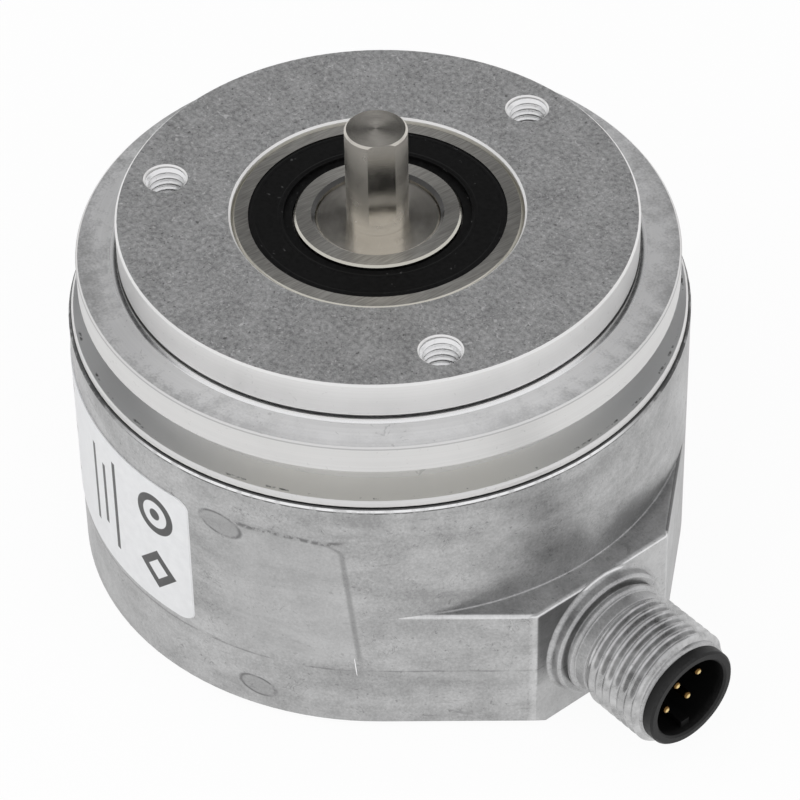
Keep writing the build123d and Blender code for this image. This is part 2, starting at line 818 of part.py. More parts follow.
# Hexagonal standoffs with a stud into the flange and a tapped lower end
with BuildPart() as board_standoffs:
    with BuildSketch(Plane.XY.offset(board_top)):
        with Locations(*around(standoff_pitch_radius, mount_angles)):
            RegularPolygon(standoff_width / 2, 6, major_radius=False)
            Circle(board_screw_radius, mode=Mode.SUBTRACT)
    extrude(amount=board_screw_length)
    with BuildSketch(Plane.XY.offset(board_top + board_screw_length)):
        with Locations(*around(standoff_pitch_radius, mount_angles)):
            RegularPolygon(standoff_width / 2, 6, major_radius=False)
    extrude(amount=standoff_length - board_screw_length)
    with BuildSketch(Plane.XY.offset(spigot_end)):
        with Locations(*around(standoff_pitch_radius, mount_angles)):
            Circle(board_screw_radius - press_gap)
    extrude(amount=board_screw_length - edge_break)
finish(board_standoffs, "board_standoffs")

with BuildPart() as board_screws:
    with BuildSketch(Plane.XY.offset(board_end - board_screw_head_height)):
        with Locations(*around(standoff_pitch_radius, mount_angles)):
            Circle(board_screw_head_radius)
    extrude(amount=board_screw_head_height)
    with BuildSketch(Plane.XY.offset(board_end)):
        with Locations(*around(standoff_pitch_radius, mount_angles)):
            Circle(board_screw_radius - press_gap)
    extrude(amount=board_screw_length)
finish(board_screws, "board_screws")

# Parts soldered under the board
processor_width = 8.0
processor_height = 1.1
driver_width = 4.0
driver_length = 5.0
driver_height = 1.5
capacitor_radius = 2.0
capacitor_height = 4.0
chip_width = 0.9
chip_length = 1.7
chip_height = 0.7
chip_pitch = 2.6
processor_place = (-11.5, 0)
driver_places = [(0, 11), (0, -11)]
capacitor_places = [(8.5, 9.5), (8.5, -9.5)]
chip_group_places = [(-12.5, 10.5), (-12.5, -10.5)]
with BuildPart() as board_components:
    with BuildSketch(Plane.XY.offset(board_end)):
        with Locations(processor_place):
            Rectangle(processor_width, processor_width)
    extrude(amount=-processor_height)
    with BuildSketch(Plane.XY.offset(board_end)):
        with Locations(*driver_places):
            Rectangle(driver_width, driver_length)
    extrude(amount=-driver_height)
    with BuildSketch(Plane.XY.offset(board_end)):
        with Locations(*capacitor_places):
            Circle(capacitor_radius)
    extrude(amount=-capacitor_height)
    with BuildSketch(Plane.XY.offset(board_end)):
        with Locations(*chip_group_places):
            with GridLocations(chip_pitch, chip_pitch, 2, 2):
                Rectangle(chip_length, chip_width)
    extrude(amount=-chip_height)
finish(board_components, "board_components")

# Socket for the flex lead to the connector
socket_inset = 6.1
socket_x = board_flat - socket_inset
socket_width = 3.4
socket_length = 9.0
socket_height = 2.2
flex_thickness = 0.3
flex_width = 6.0
flex_height = board_end - socket_height / 2
with BuildPart() as board_socket:
    with BuildSketch(Plane.XY.offset(board_end)):
        with Locations((socket_x, 0)):
            Rectangle(socket_width, socket_length)
    extrude(amount=-socket_height)
finish(board_socket, "board_socket")

# Connector insert: black plastic body with a rim in front of the metal, a socket and a key
seal_groove_start = insert_start + insert_seal_place
seal_groove_end = seal_groove_start + insert_seal_section + wide_gap
insert_radius = connector_bore_radius - slide_gap
contact_places = [(0, 0)] + around(contact_pitch_radius, contact_ring_angles)
with BuildPart() as connector_insert:
    with BuildSketch(connector_side):
        Polygon(
            (insert_start, 0),
            (insert_start, insert_radius),
            (seal_groove_start, insert_radius),
            (seal_groove_start, connector_bore_radius - insert_seal_section),
            (seal_groove_end, connector_bore_radius - insert_seal_section),
            (seal_groove_end, insert_radius),
            (metal_end, insert_radius),
            (metal_end, rim_radius),
            (rim_end - edge_break, rim_radius),
            (rim_end, rim_radius - edge_break),
            (rim_end, socket_radius + edge_break),
            (rim_end - edge_break, socket_radius),
            (rim_end - socket_depth, socket_radius),
            (rim_end - socket_depth, 0),
            align=None,
        )
    revolve(axis=connector_axis)
    with BuildSketch(across(rim_end - socket_depth)):
        with Locations((0, -socket_radius - edge_break)):
            Rectangle(key_width, key_depth + edge_break, align=(Align.CENTER, Align.MIN))
    extrude(amount=socket_depth - key_recess)
    with BuildSketch(across(insert_start)):
        with Locations(*contact_places):
            Circle(contact_radius + press_gap)
    extrude(amount=rim_end - socket_depth - insert_start, mode=Mode.SUBTRACT)
finish(connector_insert, "connector_insert")

with BuildPart() as connector_o_ring:
    with BuildSketch(connector_side):
        with Locations(
            ((seal_groove_start + seal_groove_end) / 2, connector_bore_radius - insert_seal_section / 2)
        ):
            Circle(insert_seal_section / 2 - press_gap)
    revolve(axis=connector_axis)
finish(connector_o_ring, "connector_o_ring")

# Contacts: straight pins with rounded tips, soldered into a small board behind the insert
connector_board_thickness = 1.0
connector_board_inset = 0.7
connector_board_radius = connector_bore_radius - connector_board_inset
connector_board_start = insert_start - wide_gap - connector_board_thickness
contact_tip = rim_end - contact_recess
with BuildPart() as contact_pins:
    with BuildSketch(across(connector_board_start)):
        with Locations(*contact_places):
            Circle(contact_radius)
    extrude(amount=contact_tip - connector_board_start)
    fillet(contact_pins.faces().group_by(Axis.X)[-1].edges(), radius=contact_tip_radius)
finish(contact_pins, "contact_pins")

with BuildPart() as connector_board:
    with BuildSketch(across(connector_board_start)):
        Circle(connector_board_radius)
        with Locations(*contact_places):
            Circle(contact_radius + press_gap, mode=Mode.SUBTRACT)
    extrude(amount=connector_board_thickness)
finish(connector_board, "connector_board")

# Flex lead from the small board up to the socket under the large one
flex_bend = 0.8
flex_turn = (connector_board_start + socket_x + socket_width / 2) / 2
flex_start_z = (contact_pitch_radius + contact_radius) / 2
with BuildPart() as connector_flex:
    with BuildLine(Plane.XZ) as flex_path:
        FilletPolyline(
            (connector_board_start, connector_axis_z - flex_start_z),
            (flex_turn, connector_axis_z - flex_start_z),
            (flex_turn, flex_height),
            (socket_x + socket_width / 2, flex_height),
            radius=flex_bend,
        )
    with BuildSketch(across(connector_board_start)):
        with Locations((0, -flex_start_z)):
            Rectangle(flex_width, flex_thickness)
    sweep(path=flex_path.wires()[0])
finish(connector_flex, "connector_flex")

# Label: a thin sheet with rounded corners that follows the housing wall
label_angle = label_start - label_sweep / 2
label_half_chord = housing_radius * sin(radians(label_sweep / 2))
label_plane = Plane(
    (0, 0, label_top - label_height / 2),
    x_dir=(-sin(radians(label_angle)), cos(radians(label_angle)), 0),
    z_dir=(cos(radians(label_angle)), sin(radians(label_angle)), 0),
)
with BuildPart() as label:
    with BuildSketch(label_plane):
        RectangleRounded(2 * label_half_chord, label_height, label_corner)
    extrude(amount=2 * housing_radius)
    with BuildSketch(Plane.XY.offset(label_top - label_height)):
        Circle(housing_radius + label_thickness)
        Circle(housing_radius, mode=Mode.SUBTRACT)
    extrude(amount=label_height, mode=Mode.INTERSECT)
finish(label, "label")
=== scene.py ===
from math import cos, pi, radians, sin, tau

import bpy
from mathutils import Matrix, Vector


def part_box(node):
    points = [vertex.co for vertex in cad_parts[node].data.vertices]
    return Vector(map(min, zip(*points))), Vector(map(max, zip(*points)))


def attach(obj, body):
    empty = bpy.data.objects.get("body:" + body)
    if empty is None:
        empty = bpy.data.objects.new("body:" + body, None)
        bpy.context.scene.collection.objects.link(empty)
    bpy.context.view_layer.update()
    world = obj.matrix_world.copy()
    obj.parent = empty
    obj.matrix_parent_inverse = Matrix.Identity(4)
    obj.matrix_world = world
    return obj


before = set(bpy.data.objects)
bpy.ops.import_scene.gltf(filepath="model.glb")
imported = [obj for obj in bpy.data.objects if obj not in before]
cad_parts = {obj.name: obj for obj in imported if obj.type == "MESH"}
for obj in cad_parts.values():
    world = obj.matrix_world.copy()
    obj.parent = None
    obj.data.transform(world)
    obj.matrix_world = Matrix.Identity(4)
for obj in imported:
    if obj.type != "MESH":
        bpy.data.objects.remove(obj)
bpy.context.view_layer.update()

MM = 0.001

# Places taken from the frame
connector_low, connector_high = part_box("connector_insert")
AXIS_Z = (connector_low.z + connector_high.z) / 2
METAL_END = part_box("housing")[1].x
INSERT_END = connector_high.x
REAR_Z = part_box("housing")[0].z
WALL_RADIUS = -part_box("housing")[0].x
PILOT_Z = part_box("flange")[1].z
SEAM_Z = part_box("housing")[1].z

# Sizes of the solids that the frame does not hold
PILOT_RADIUS = 25.0 * MM
PILOT_HEIGHT = 4.0 * MM
RING_RADIUS = 29.0 * MM
LIP_THICKNESS = 0.8 * MM
PAD_X = 32.5 * MM
PAD_HALF = 8.3 * MM
BOSS_HEIGHT = 15.0 * MM
FLAT_ANGLE = radians(-29.4)
FLAT_END_Z = 0.4 * MM
DISC_TRACK_RADIUS = 18.2 * MM
DISC_TRACK_HALF = 2.1 * MM
RING_Z = PILOT_Z - PILOT_HEIGHT
GROOVE_FOOT_Z = SEAM_Z + LIP_THICKNESS
BOSS_TOP_Z = REAR_Z + BOSS_HEIGHT

# Fine shapes and textures that only the materials show
FLAT_ROUGH = 0.13
EDGE_ROUNDING = 0.28 * MM
SEAL_OUTER_RING = 11.9 * MM
SEAL_INNER_RING = 9.35 * MM
TURNING_FINENESS = 9000

# The side that is in front in the photograph, as an angle about the shaft axis
FRONT_ANGLE = radians(-39.4)

# Marks of the mould on the housing wall: the parting line, and the smooth field beside the label with the
# wrinkled line over it. The field's right edge leans, in radians per metre of height
PARTING_Z = -31.9 * MM
FIELD_TOP_Z = -15.2 * MM
FIELD_MIDDLE_Z = -22.0 * MM
FIELD_EDGE_ANGLE = radians(-46.2)
FIELD_EDGE_LEAN = -3.4
FIELD_CORNER = radians(-2.6)
FIELD_LEFT_ANGLE = radians(-70)
FIELD_LEFT_SOFT = radians(4)
TOP_LINE_ANGLE = radians(-57)
TOP_LINE_HALF = radians(9)
TOP_LINE_SOFT = radians(2)
# Each ejector mark: angle in degrees, then height, half width and half height in mm, and its lean
EJECTOR_MARKS = ((-69.8, -16.0, 2.2, 1.3, 0.25), (-63.7, -36.2, 1.9, 1.15, 0.25))
# Each flash ridge: piece name, first angle and lean per point in degrees, first height in mm, number of
# points, and the ridge's width and height in mm
FLASH_RIDGES = (
    ("casting_flash_left", -45.2, 0.05, -30.2, 10, 0.22, 0.08),
    ("casting_flash_right", -35.9, 0.03, -31.1, 9, 0.20, 0.07),
)
FLASH_STEP = 0.28
FLASH_SINK = 0.05

# Threads of the connector and of the three fixing holes
THREAD_LENGTH = 7.7 * MM
THREAD_END_GAP = 0.25 * MM
THREAD_LEAD_IN = 0.5 * MM
THREAD_LEAD_OUT = 0.35 * MM
THREAD_PITCH = 1.0 * MM
THREAD_CORE = 5.4 * MM
THREAD_CREST = 6.0 * MM
THREAD_SINK = 0.06 * MM
THREAD_BACKING = 0.1 * MM
THREAD_CREST_SHARE = 0.22
THREAD_ROOT_SHARE = 0.16
THREAD_STEPS = 100
THREAD_COLUMNS = 220
LAND_RADIUS = 5.78 * MM
LAND_RIPPLE = 0.13 * MM
LAND_MIDDLE = radians(202.5)
LAND_HALF = radians(36)
LAND_BLEND = radians(9)
HOLE_RADIUS = 2.0 * MM
HOLE_CIRCLE = 21.0 * MM
HOLE_ANGLES = (-24.0, 96.0, 216.0)
HOLE_PITCH = 0.7 * MM
HOLE_CORE = 1.66 * MM
HOLE_MOUTH = 2.28 * MM
HOLE_BACKING = 0.3 * MM
HOLE_THREAD_TOP = 0.02 * MM
HOLE_THREAD_LENGTH = 7.6 * MM
HOLE_CREST_SHARE = 0.12
HOLE_ROOT_SHARE = 0.12
HOLE_STEPS = 170
HOLE_COLUMNS = 72

# The burr at the foot of the pilot, as mm out from the pilot wall and up from the ring
BEAD_SECTION = ((-0.14, -0.36), (-0.10, 0.11), (0.0, 0.16), (0.30, 0.10), (0.66, 0.0), (0.68, -0.03))
BEAD_COLUMNS = 360

# Printed shapes on the label: places are an angle in degrees and a height in mm, sizes are in mm
PRINT_RING = (-85.1, -19.3)
PRINT_RING_RADIUS = 2.0
PRINT_RING_HALF = 0.38
PRINT_DOT_RADIUS = 0.66
PRINT_DIAMOND = (-85.2, -26.6)
PRINT_DIAMOND_REACH = 1.9
PRINT_DIAMOND_HALF = 0.55
PRINT_BARS = ((-97.5, 5.6), (-101.5, 3.8), (-105.5, 5.0))
PRINT_BARS_Z = -23.0
PRINT_BAR_HALF = 0.26
PRINT_ROWS = 7
PRINT_ROWS_PLACE = (-142.0, -18.0)
PRINT_ROW_STEP = 1.75
PRINT_ROW_HALF = 11.5
PRINT_ROW_SHORTER = 1.8
PRINT_ROW_THICK = 0.22
PRINT_BLUR = 0.05

# Camera, solved from the photograph: angles in degrees, focal length in the photograph's pixels
CAMERA_AZIMUTH = 50.574
CAMERA_ELEVATION = 42.40
CAMERA_ROLL = -1.12
CAMERA_DISTANCE = 402.5 * MM
CAMERA_TARGET = Vector((1.124, 1.367, -24.57)) * MM
SENSOR_WIDTH = 36.0
FOCAL_PIXELS = 4063
PHOTO_PIXELS = 800

# The dark opening in the sky: its lowest and highest elevation and the width of its edge, in degrees
GAP_LOW = 37
GAP_HIGH = 48
GAP_FADE = 9
# Each stop of the sky: its place from level with the object to straight above it, and its colour
SKY_STOPS = ((0.0, (0.95, 0.95, 0.9595)), (0.45, (0.85, 0.85, 0.8585)), (1.0, (0.80, 0.80, 0.81)))

# Each lamp: name, degrees to the right of the camera, elevation, distance and size in metres, and power
LAMPS = (
    ("key_left", -55, 48, 0.60, (0.40, 0.40), 0.7),
    ("fill_right", 60, 35, 0.65, (0.35, 0.45), 0.4),
    ("front_low", 5, 14, 0.70, (0.60, 0.22), 0.3),
)
LAMP_AIM = Vector((0.0, 0.0, -15 * MM))
FLOOR_HALF = 3.0
FLOOR_GAP = 0.02 * MM


class Tree:
    """A node tree, with short ways to add nodes, masks and colours."""

    def __init__(self, tree):
        self.tree = tree

    def add(self, kind, **settings):
        node = self.tree.nodes.new(kind)
        for key, value in settings.items():
            setattr(node, key, value)
        return node

    def feed(self, socket, value):
        if isinstance(value, bpy.types.NodeSocket):
            self.tree.links.new(value, socket)
        else:
            socket.default_value = value

    def math(self, operation, first, second=0.0):
        node = self.add("ShaderNodeMath", operation=operation)
        self.feed(node.inputs[0], first)
        self.feed(node.inputs[1], second)
        return node.outputs[0]

    def chain(self, operation, first, *others):
        """One operation taken over all the values in turn."""
        for other in others:
            first = self.math(operation, first, other)
        return first

    def times(self, *values):
        return self.chain("MULTIPLY", *values)

    def total(self, *values):
        return self.chain("ADD", *values)

    def either(self, *masks):
        return self.chain("MAXIMUM", *masks)

    def minus(self, first, second):
        return self.math("SUBTRACT", first, second)

    def weigh(self, *pairs):
        """The sum of values, each times its own share."""
        return self.total(*[self.times(value, share) for value, share in pairs])

    def distance(self, x, y):
        return self.math("SQRT", self.total(self.times(x, x), self.times(y, y)))

    def dot(self, first, second):
        node = self.add("ShaderNodeVectorMath", operation="DOT_PRODUCT")
        self.feed(node.inputs[0], first)
        self.feed(node.inputs[1], second)
        return node.outputs["Value"]

    def split(self, vector):
        node = self.add("ShaderNodeSeparateXYZ")
        self.feed(node.inputs[0], vector)
        return node.outputs[0], node.outputs[1], node.outputs[2]

    def span(self, value, low, high, to_low=0.0, to_high=1.0, smooth=False):
        """The value moved from the range low to high onto another range, and held inside it."""
        node = self.add("ShaderNodeMapRange", interpolation_type="SMOOTHSTEP" if smooth else "LINEAR")
        node.clamp = True
        self.feed(node.inputs["Value"], value)
        for key, number in (("From Min", low), ("From Max", high), ("To Min", to_low), ("To Max", to_high)):
            node.inputs[key].default_value = number
        return node.outputs["Result"]

    def opposite(self, mask):
        return self.span(mask, 0.0, 1.0, 1.0, 0.0)

    def within(self, value, middle, half, soft):
        """1 where value lies within half of middle, falling to 0 over soft."""
        away = self.math("ABSOLUTE", self.minus(value, middle))
        return self.span(away, half, half + soft, 1.0, 0.0)

    def blend(self, factor, first, second):
        """Mix two colours, each a grey, a triple or a socket."""
        node = self.add("ShaderNodeMix", data_type="RGBA")
        self.feed(node.inputs[0], factor)
        for socket, value in ((node.inputs[6], first), (node.inputs[7], second)):
            self.feed(socket, paint(value))
        return node.outputs[2]

    def stain(self, color, mask, share, tint):
        """The colour with a share of a tint laid over it where the mask is 1."""
        return self.blend(self.times(mask, share), color, tint)

    def mix(self, factor, first, second):
        node = self.add("ShaderNodeMixShader")
        for socket, value in zip(node.inputs, (factor, first, second)):
            self.feed(socket, value)
        return node.outputs[0]


class Graph(Tree):
    """A material's node tree, with what the finishes below share."""

    def __init__(self, name):
        self.material = bpy.data.materials.new(name)
        self.material.use_nodes = True
        super().__init__(self.material.node_tree)
        self.shader = self.tree.nodes["Principled BSDF"]
        coordinates = self.add("ShaderNodeTexCoord")
        self.place = coordinates.outputs["Object"]
        self.normal = coordinates.outputs["Normal"]

    def noise(self, scale, detail=3.0, roughness=0.55, vector=None, distortion=0.0):
        node = self.add("ShaderNodeTexNoise")
        self.feed(node.inputs["Vector"], vector if vector is not None else self.place)
        node.inputs["Scale"].default_value = scale
        node.inputs["Detail"].default_value = detail
        node.inputs["Roughness"].default_value = roughness
        node.inputs["Distortion"].default_value = distortion
        return node.outputs["Fac"]

    def stretched(self, values, scales):
        """Three values as a vector, each times its own scale."""
        node = self.add("ShaderNodeCombineXYZ")
        for socket, value, scale in zip(node.inputs, values, scales):
            self.feed(socket, self.times(value, scale))
        return node.outputs[0]

    def streaks(self, turn, fine, along):
        """Noise drawn out into straight hairlines that lie at an angle in the level plane."""
        node = self.add("ShaderNodeVectorRotate", rotation_type="Z_AXIS")
        self.feed(node.inputs["Vector"], self.place)
        node.inputs["Angle"].default_value = turn
        return self.noise(1.0, 2.0, 0.5, self.stretched(self.split(node.outputs[0]), (along, fine, along)))

    def cracks(self, scale, width, gap_scale):
        """Thin wandering lines that come and go."""
        path = self.noise(scale, 3.0, 0.6, distortion=1.2)
        shown = self.span(self.noise(gap_scale, 2.0), 0.53, 0.60)
        return self.times(self.within(path, 0.5, 0.0, width), shown)

    def bump(self, height, distance, strength=1.0, under=None):
        node = self.add("ShaderNodeBump")
        node.inputs["Strength"].default_value = strength
        node.inputs["Distance"].default_value = distance
        self.feed(node.inputs["Height"], height)
        if under is not None:
            self.feed(node.inputs["Normal"], under)
        return node.outputs["Normal"]

    def surface(self, color, rough, normal, metallic, **constants):
        """The finished material; normal may be None, for a plain surface."""
        self.feed(self.shader.inputs["Base Color"], color)
        self.feed(self.shader.inputs["Roughness"], rough)
        if normal is not None:
            self.feed(self.shader.inputs["Normal"], normal)
        self.shader.inputs["Metallic"].default_value = metallic
        for key, number in constants.items():
            self.shader.inputs[key].default_value = number
        return self.material


class RoundGraph(Graph):
    """A material's node tree that also knows its places and directions about the shaft axis."""

    def __init__(self, name):
        super().__init__(name)
        self.x, self.y, self.z = self.split(self.place)
        self.radius = self.distance(self.x, self.y)
        self.angle = self.math("ARCTAN2", self.y, self.x)
        self.facing_x, self.facing_y, self.facing_z = self.split(self.normal)

    def turned_lay(self, density):
        """Fine grooves that run round the shaft axis."""
        fine = TURNING_FINENESS * density
        lay = self.stretched((self.angle, self.radius, self.z), (0.35, fine, fine))
        return self.noise(1.0, 2.0, 0.6, lay)

    def lay_round_axis(self):
        """Grooves that run round the shaft axis spread a highlight across themselves."""
        tangent = self.add("ShaderNodeTangent", direction_type="RADIAL", axis="Z")
        self.feed(self.shader.inputs["Tangent"], tangent.outputs[0])
        self.shader.inputs["Anisotropic Rotation"].default_value = 0.25


def paint(value):
    """A grey level or a triple as a colour; sockets pass through."""
    if isinstance(value, bpy.types.NodeSocket):
        return value
    if isinstance(value, (int, float)):
        return (value, value, value, 1.0)
    return (*value, 1.0)


def tumbled_finish():
    """Dull grey face of the pilot: soft clouds, fine grain, bright nicks and scratches, and dark pits."""
    g = Graph("tumbled_aluminium_face")
    blotch = g.noise(2100, 3.0, 0.65)
    grain = g.noise(6500, 2.0, 0.6)
    mottle = g.weigh((g.noise(260, 4.0, 0.6), 0.22), (blotch, 0.45), (grain, 0.33))
    color = g.blend(g.span(mottle, 0.39, 0.61), 0.29, 0.62)
    nicks = g.noise(1500, 2.0, 0.5, distortion=2.2)
    color = g.stain(color, g.span(nicks, 0.635, 0.69), 0.55, 0.85)
    for turn, share in ((0.5, 0.35), (2.1, 0.25)):
        color = g.stain(color, g.span(g.streaks(turn, 5200, 260), 0.73, 0.77), share, 0.85)
    pits = g.span(g.noise(2300, 2.0, 0.5), 0.345, 0.29)
    color = g.stain(color, pits, 0.65, 0.09)
    rough = g.span(grain, 0.3, 0.7, 0.46, 0.60)
    height = g.weigh((grain, 0.35), (blotch, 0.55), (nicks, 0.5))
    return g.surface(color, rough, g.bump(height, 0.02 * MM, 0.6), 1.0)


def turned_finish():
    """Bright turned aluminium, rubbed grey in patches on its level faces, with dirt in the joint and painted
    light and shade.
    """
    g = RoundGraph("turned_aluminium")
    up = g.span(g.facing_z, 0.8, 0.95)
    from_ring = g.span(g.z, RING_Z - 0.2 * MM, RING_Z - 0.1 * MM)
    lip_top = g.times(up, g.within(g.z, GROOVE_FOOT_Z, 0.1 * MM, 0.05 * MM))
    lay = g.turned_lay(0.6)
    patch = g.noise(85, 4.0, 0.65)
    blotch = g.noise(700, 4.0, 0.7)
    grain = g.noise(4200, 2.0, 0.6)
    color = g.blend(g.span(lay, 0.3, 0.7), 0.82, 0.88)
    color = g.stain(color, g.span(patch, 0.5, 0.7), 0.14, 0.58)
    # Painted highlight: faces that slant between level and upright are painted near white
    slanted = g.times(g.span(g.facing_z, 0.2, 0.4), g.span(g.facing_z, 0.92, 0.8))
    color = g.stain(color, slanted, 0.9, 0.96)
    # The ring's top is rubbed grey, more toward its rim; it is spared in front, which is painted light
    outward = g.span(g.radius, RING_RADIUS - 2.8 * MM, RING_RADIUS - 0.6 * MM, 0.0, 0.09)
    rub = g.total(g.weigh((patch, 0.45), (blotch, 0.35), (grain, 0.20)), outward)
    front_kept_lit = g.span(g.within(g.angle, FRONT_ANGLE, 0.25, 0.55), 0.0, 1.0, 1.0, 0.25)
    rubbed_but_front_lit = g.times(g.span(rub, 0.50, 0.66), up, front_kept_lit, from_ring)
    color = g.stain(color, rubbed_but_front_lit, 0.65, 0.36)
    marks = g.span(g.noise(1000, 2.0, 0.5, distortion=2.0), 0.68, 0.72)
    color = g.stain(color, marks, 0.3, 0.35)
    color = flange_walls(g, color, g.span(up, 0.0, 0.5, 1.0, 0.0))
    color = g.stain(color, lip_top, 0.8, (0.80, 0.805, 0.81))
    # Painted light: the lip's top is painted a warm, lighter tint in front
    lip_front = g.times(lip_top, g.within(g.angle, FRONT_ANGLE, 0.35, 0.6))
    color = g.stain(color, lip_front, 0.8, (0.86, 0.845, 0.79))
    # Dirt on the lip, the dark joint, and painted shade in the relief groove
    color = g.stain(color, flange_dirt_and_shade(g, lip_top), 0.85, 0.04)
    rough = g.span(patch, 0.3, 0.7, 0.36, 0.44)
    rough = g.total(rough, g.times(up, from_ring, 0.14), g.times(rubbed_but_front_lit, 0.10))
    height = g.weigh((lay, 0.12), (g.times(blotch, rubbed_but_front_lit), 0.6))
    g.lay_round_axis()
    return g.surface(color, rough, g.bump(height, 0.015 * MM, 0.5), 1.0, Anisotropic=0.55)


def flange_walls(g, color, upright):
    """Painted light and shade on the pilot wall, the ring's side, the groove's floor and the ring's edge."""
    on_ring = g.span(g.radius, RING_RADIUS - 1.0 * MM, RING_RADIUS - 0.8 * MM)
    in_groove = g.span(g.radius, RING_RADIUS - 0.8 * MM, RING_RADIUS - 1.0 * MM)
    # Painted light: the pilot wall is painted lighter, and the ring's side darker as painted shade
    pilot_wall = g.times(upright, g.span(g.z, RING_Z + 0.3 * MM, RING_Z + 0.4 * MM))
    color = g.stain(color, pilot_wall, 0.5, (0.95, 0.94, 0.92))
    ring_side = g.times(upright, on_ring, g.span(g.z, RING_Z + 0.1 * MM, RING_Z))
    color = g.stain(color, ring_side, 0.45, (0.64, 0.63, 0.61))
    # Painted shade on the groove's floor, darker beside the front than in it
    groove_floor = g.times(upright, in_groove, g.span(g.z, RING_Z - 2.0 * MM, RING_Z - 2.2 * MM))
    front = g.within(g.angle, FRONT_ANGLE, 0.35, 0.7)
    color = g.stain(color, groove_floor, g.span(front, 0.0, 1.0, 0.6, 0.05), (0.50, 0.50, 0.49))
    # A painted shade line under the ring's edge
    edge_shade = g.times(upright, g.within(g.z, RING_Z - 0.20 * MM, 0.03 * MM, 0.05 * MM), on_ring)
    color = g.stain(color, edge_shade, 0.5, 0.30)
    # A painted highlight along the ring's top edge
    ring_edge_highlight = g.times(g.within(g.radius, RING_RADIUS, 0.06 * MM, 0.05 * MM),
                        g.within(g.z, RING_Z, 0.08 * MM, 0.04 * MM))
    return g.stain(color, ring_edge_highlight, 0.9, 0.99)


def flange_dirt_and_shade(g, lip_top):
    """Dirt on the lip and in the joint, and painted shade in the relief groove at the foot of the pilot."""
    on_lip = g.times(g.within(g.radius, RING_RADIUS + 0.25 * MM, 0.05 * MM, 0.10 * MM), lip_top,
                     g.span(g.noise(420, 4.0, 0.7), 0.55, 0.62))
    # The relief groove's painted shade reaches higher and lower beside the front than in it
    beside = g.opposite(g.within(g.angle, FRONT_ANGLE, 0.9, 0.4))
    undercut = g.either(g.within(g.z, RING_Z + 0.28 * MM, 0.12 * MM, 0.03 * MM),
                        g.times(beside, g.within(g.z, RING_Z, 0.42 * MM, 0.03 * MM)))
    relief = g.times(g.span(g.radius, PILOT_RADIUS + 0.06 * MM, PILOT_RADIUS + 0.02 * MM), undercut)
    return g.either(g.within(g.z, SEAM_Z, 0.06 * MM, 0.04 * MM), on_lip, relief)


def casting_finish():
    """Tumbled die casting: cloudy greys, flow lines, specks, marks of the mould, a dark joint, and painted
    light and shade.
    """
    g = RoundGraph("tumbled_cast_aluminium")
    wall = g.span(g.facing_z, 0.5, 0.3)
    rear = g.span(g.facing_z, -0.6, -0.8)
    cylinder = (g.angle, g.radius, g.z)
    cloud = g.noise(1.0, 5.0, 0.62, g.stretched(cylinder, (1.9, 150, 210)), distortion=0.8)
    level_cloud = g.noise(90, 5.0, 0.62, distortion=0.8)
    # Noise drawn out round the axis would meet in a star on the rear face, so that has level clouds
    cloud = g.total(cloud, g.times(rear, g.minus(level_cloud, cloud)))
    blotch = g.noise(260, 5.0, 0.72)
    grain = g.noise(3800, 3.0, 0.65)
    wrinkle = g.noise(1.0, 4.0, 0.6, g.stretched(cylinder, (9, 300, 1500)), distortion=1.4)
    mottle = g.weigh((cloud, 0.42), (blotch, 0.30), (grain, 0.28))
    color = g.blend(g.span(mottle, 0.40, 0.60), 0.34, 0.58)
    flow_line = g.times(g.span(wrinkle, 0.36, 0.31), g.span(blotch, 0.42, 0.55), g.opposite(rear))
    color = g.stain(color, flow_line, 0.35, 0.15)
    specks = g.span(g.noise(2100, 2.0, 0.5), 0.315, 0.28)
    color = g.stain(color, specks, 0.4, 0.14)
    color = g.stain(color, g.cracks(430, 0.010, 330), 0.55, 0.15)
    color = g.stain(color, g.cracks(900, 0.014, 210), 0.40, 0.17)
    scuffs = g.span(g.noise(900, 3.0, 0.6, distortion=2.5), 0.66, 0.72)
    color = g.stain(color, scuffs, 0.22, 0.75)
    color, field, top_line = smooth_field(g, color, wall)
    color, mark = ejector_marks(g, color, blotch, wall)
    color = cup_edge(g, color)
    rounded = g.add("ShaderNodeBevel", samples=6)
    rounded.inputs["Radius"].default_value = EDGE_ROUNDING
    painted_edge_highlight, painted_edge_shade = boss_edges(g, rounded.outputs[0], blotch)
    # Painted shade on the boss's far top edge, the pad's painted shade, then painted highlights on the edges
    color = g.stain(color, painted_edge_shade, 0.85, 0.05)
    color = pad_shade(g, color)
    color = g.blend(painted_edge_highlight, color, 0.98)
    rough = g.span(g.total(cloud, g.times(grain, 0.4)), 0.5, 0.9, 0.32, 0.45)
    height = g.weigh((grain, 0.22), (blotch, 0.9), (wrinkle, 0.35),
                     (field, -1.8), (top_line, -0.9), (mark, -1.1))
    return g.surface(color, rough, g.bump(height, 0.04 * MM, 0.7, rounded.outputs[0]), 1.0)


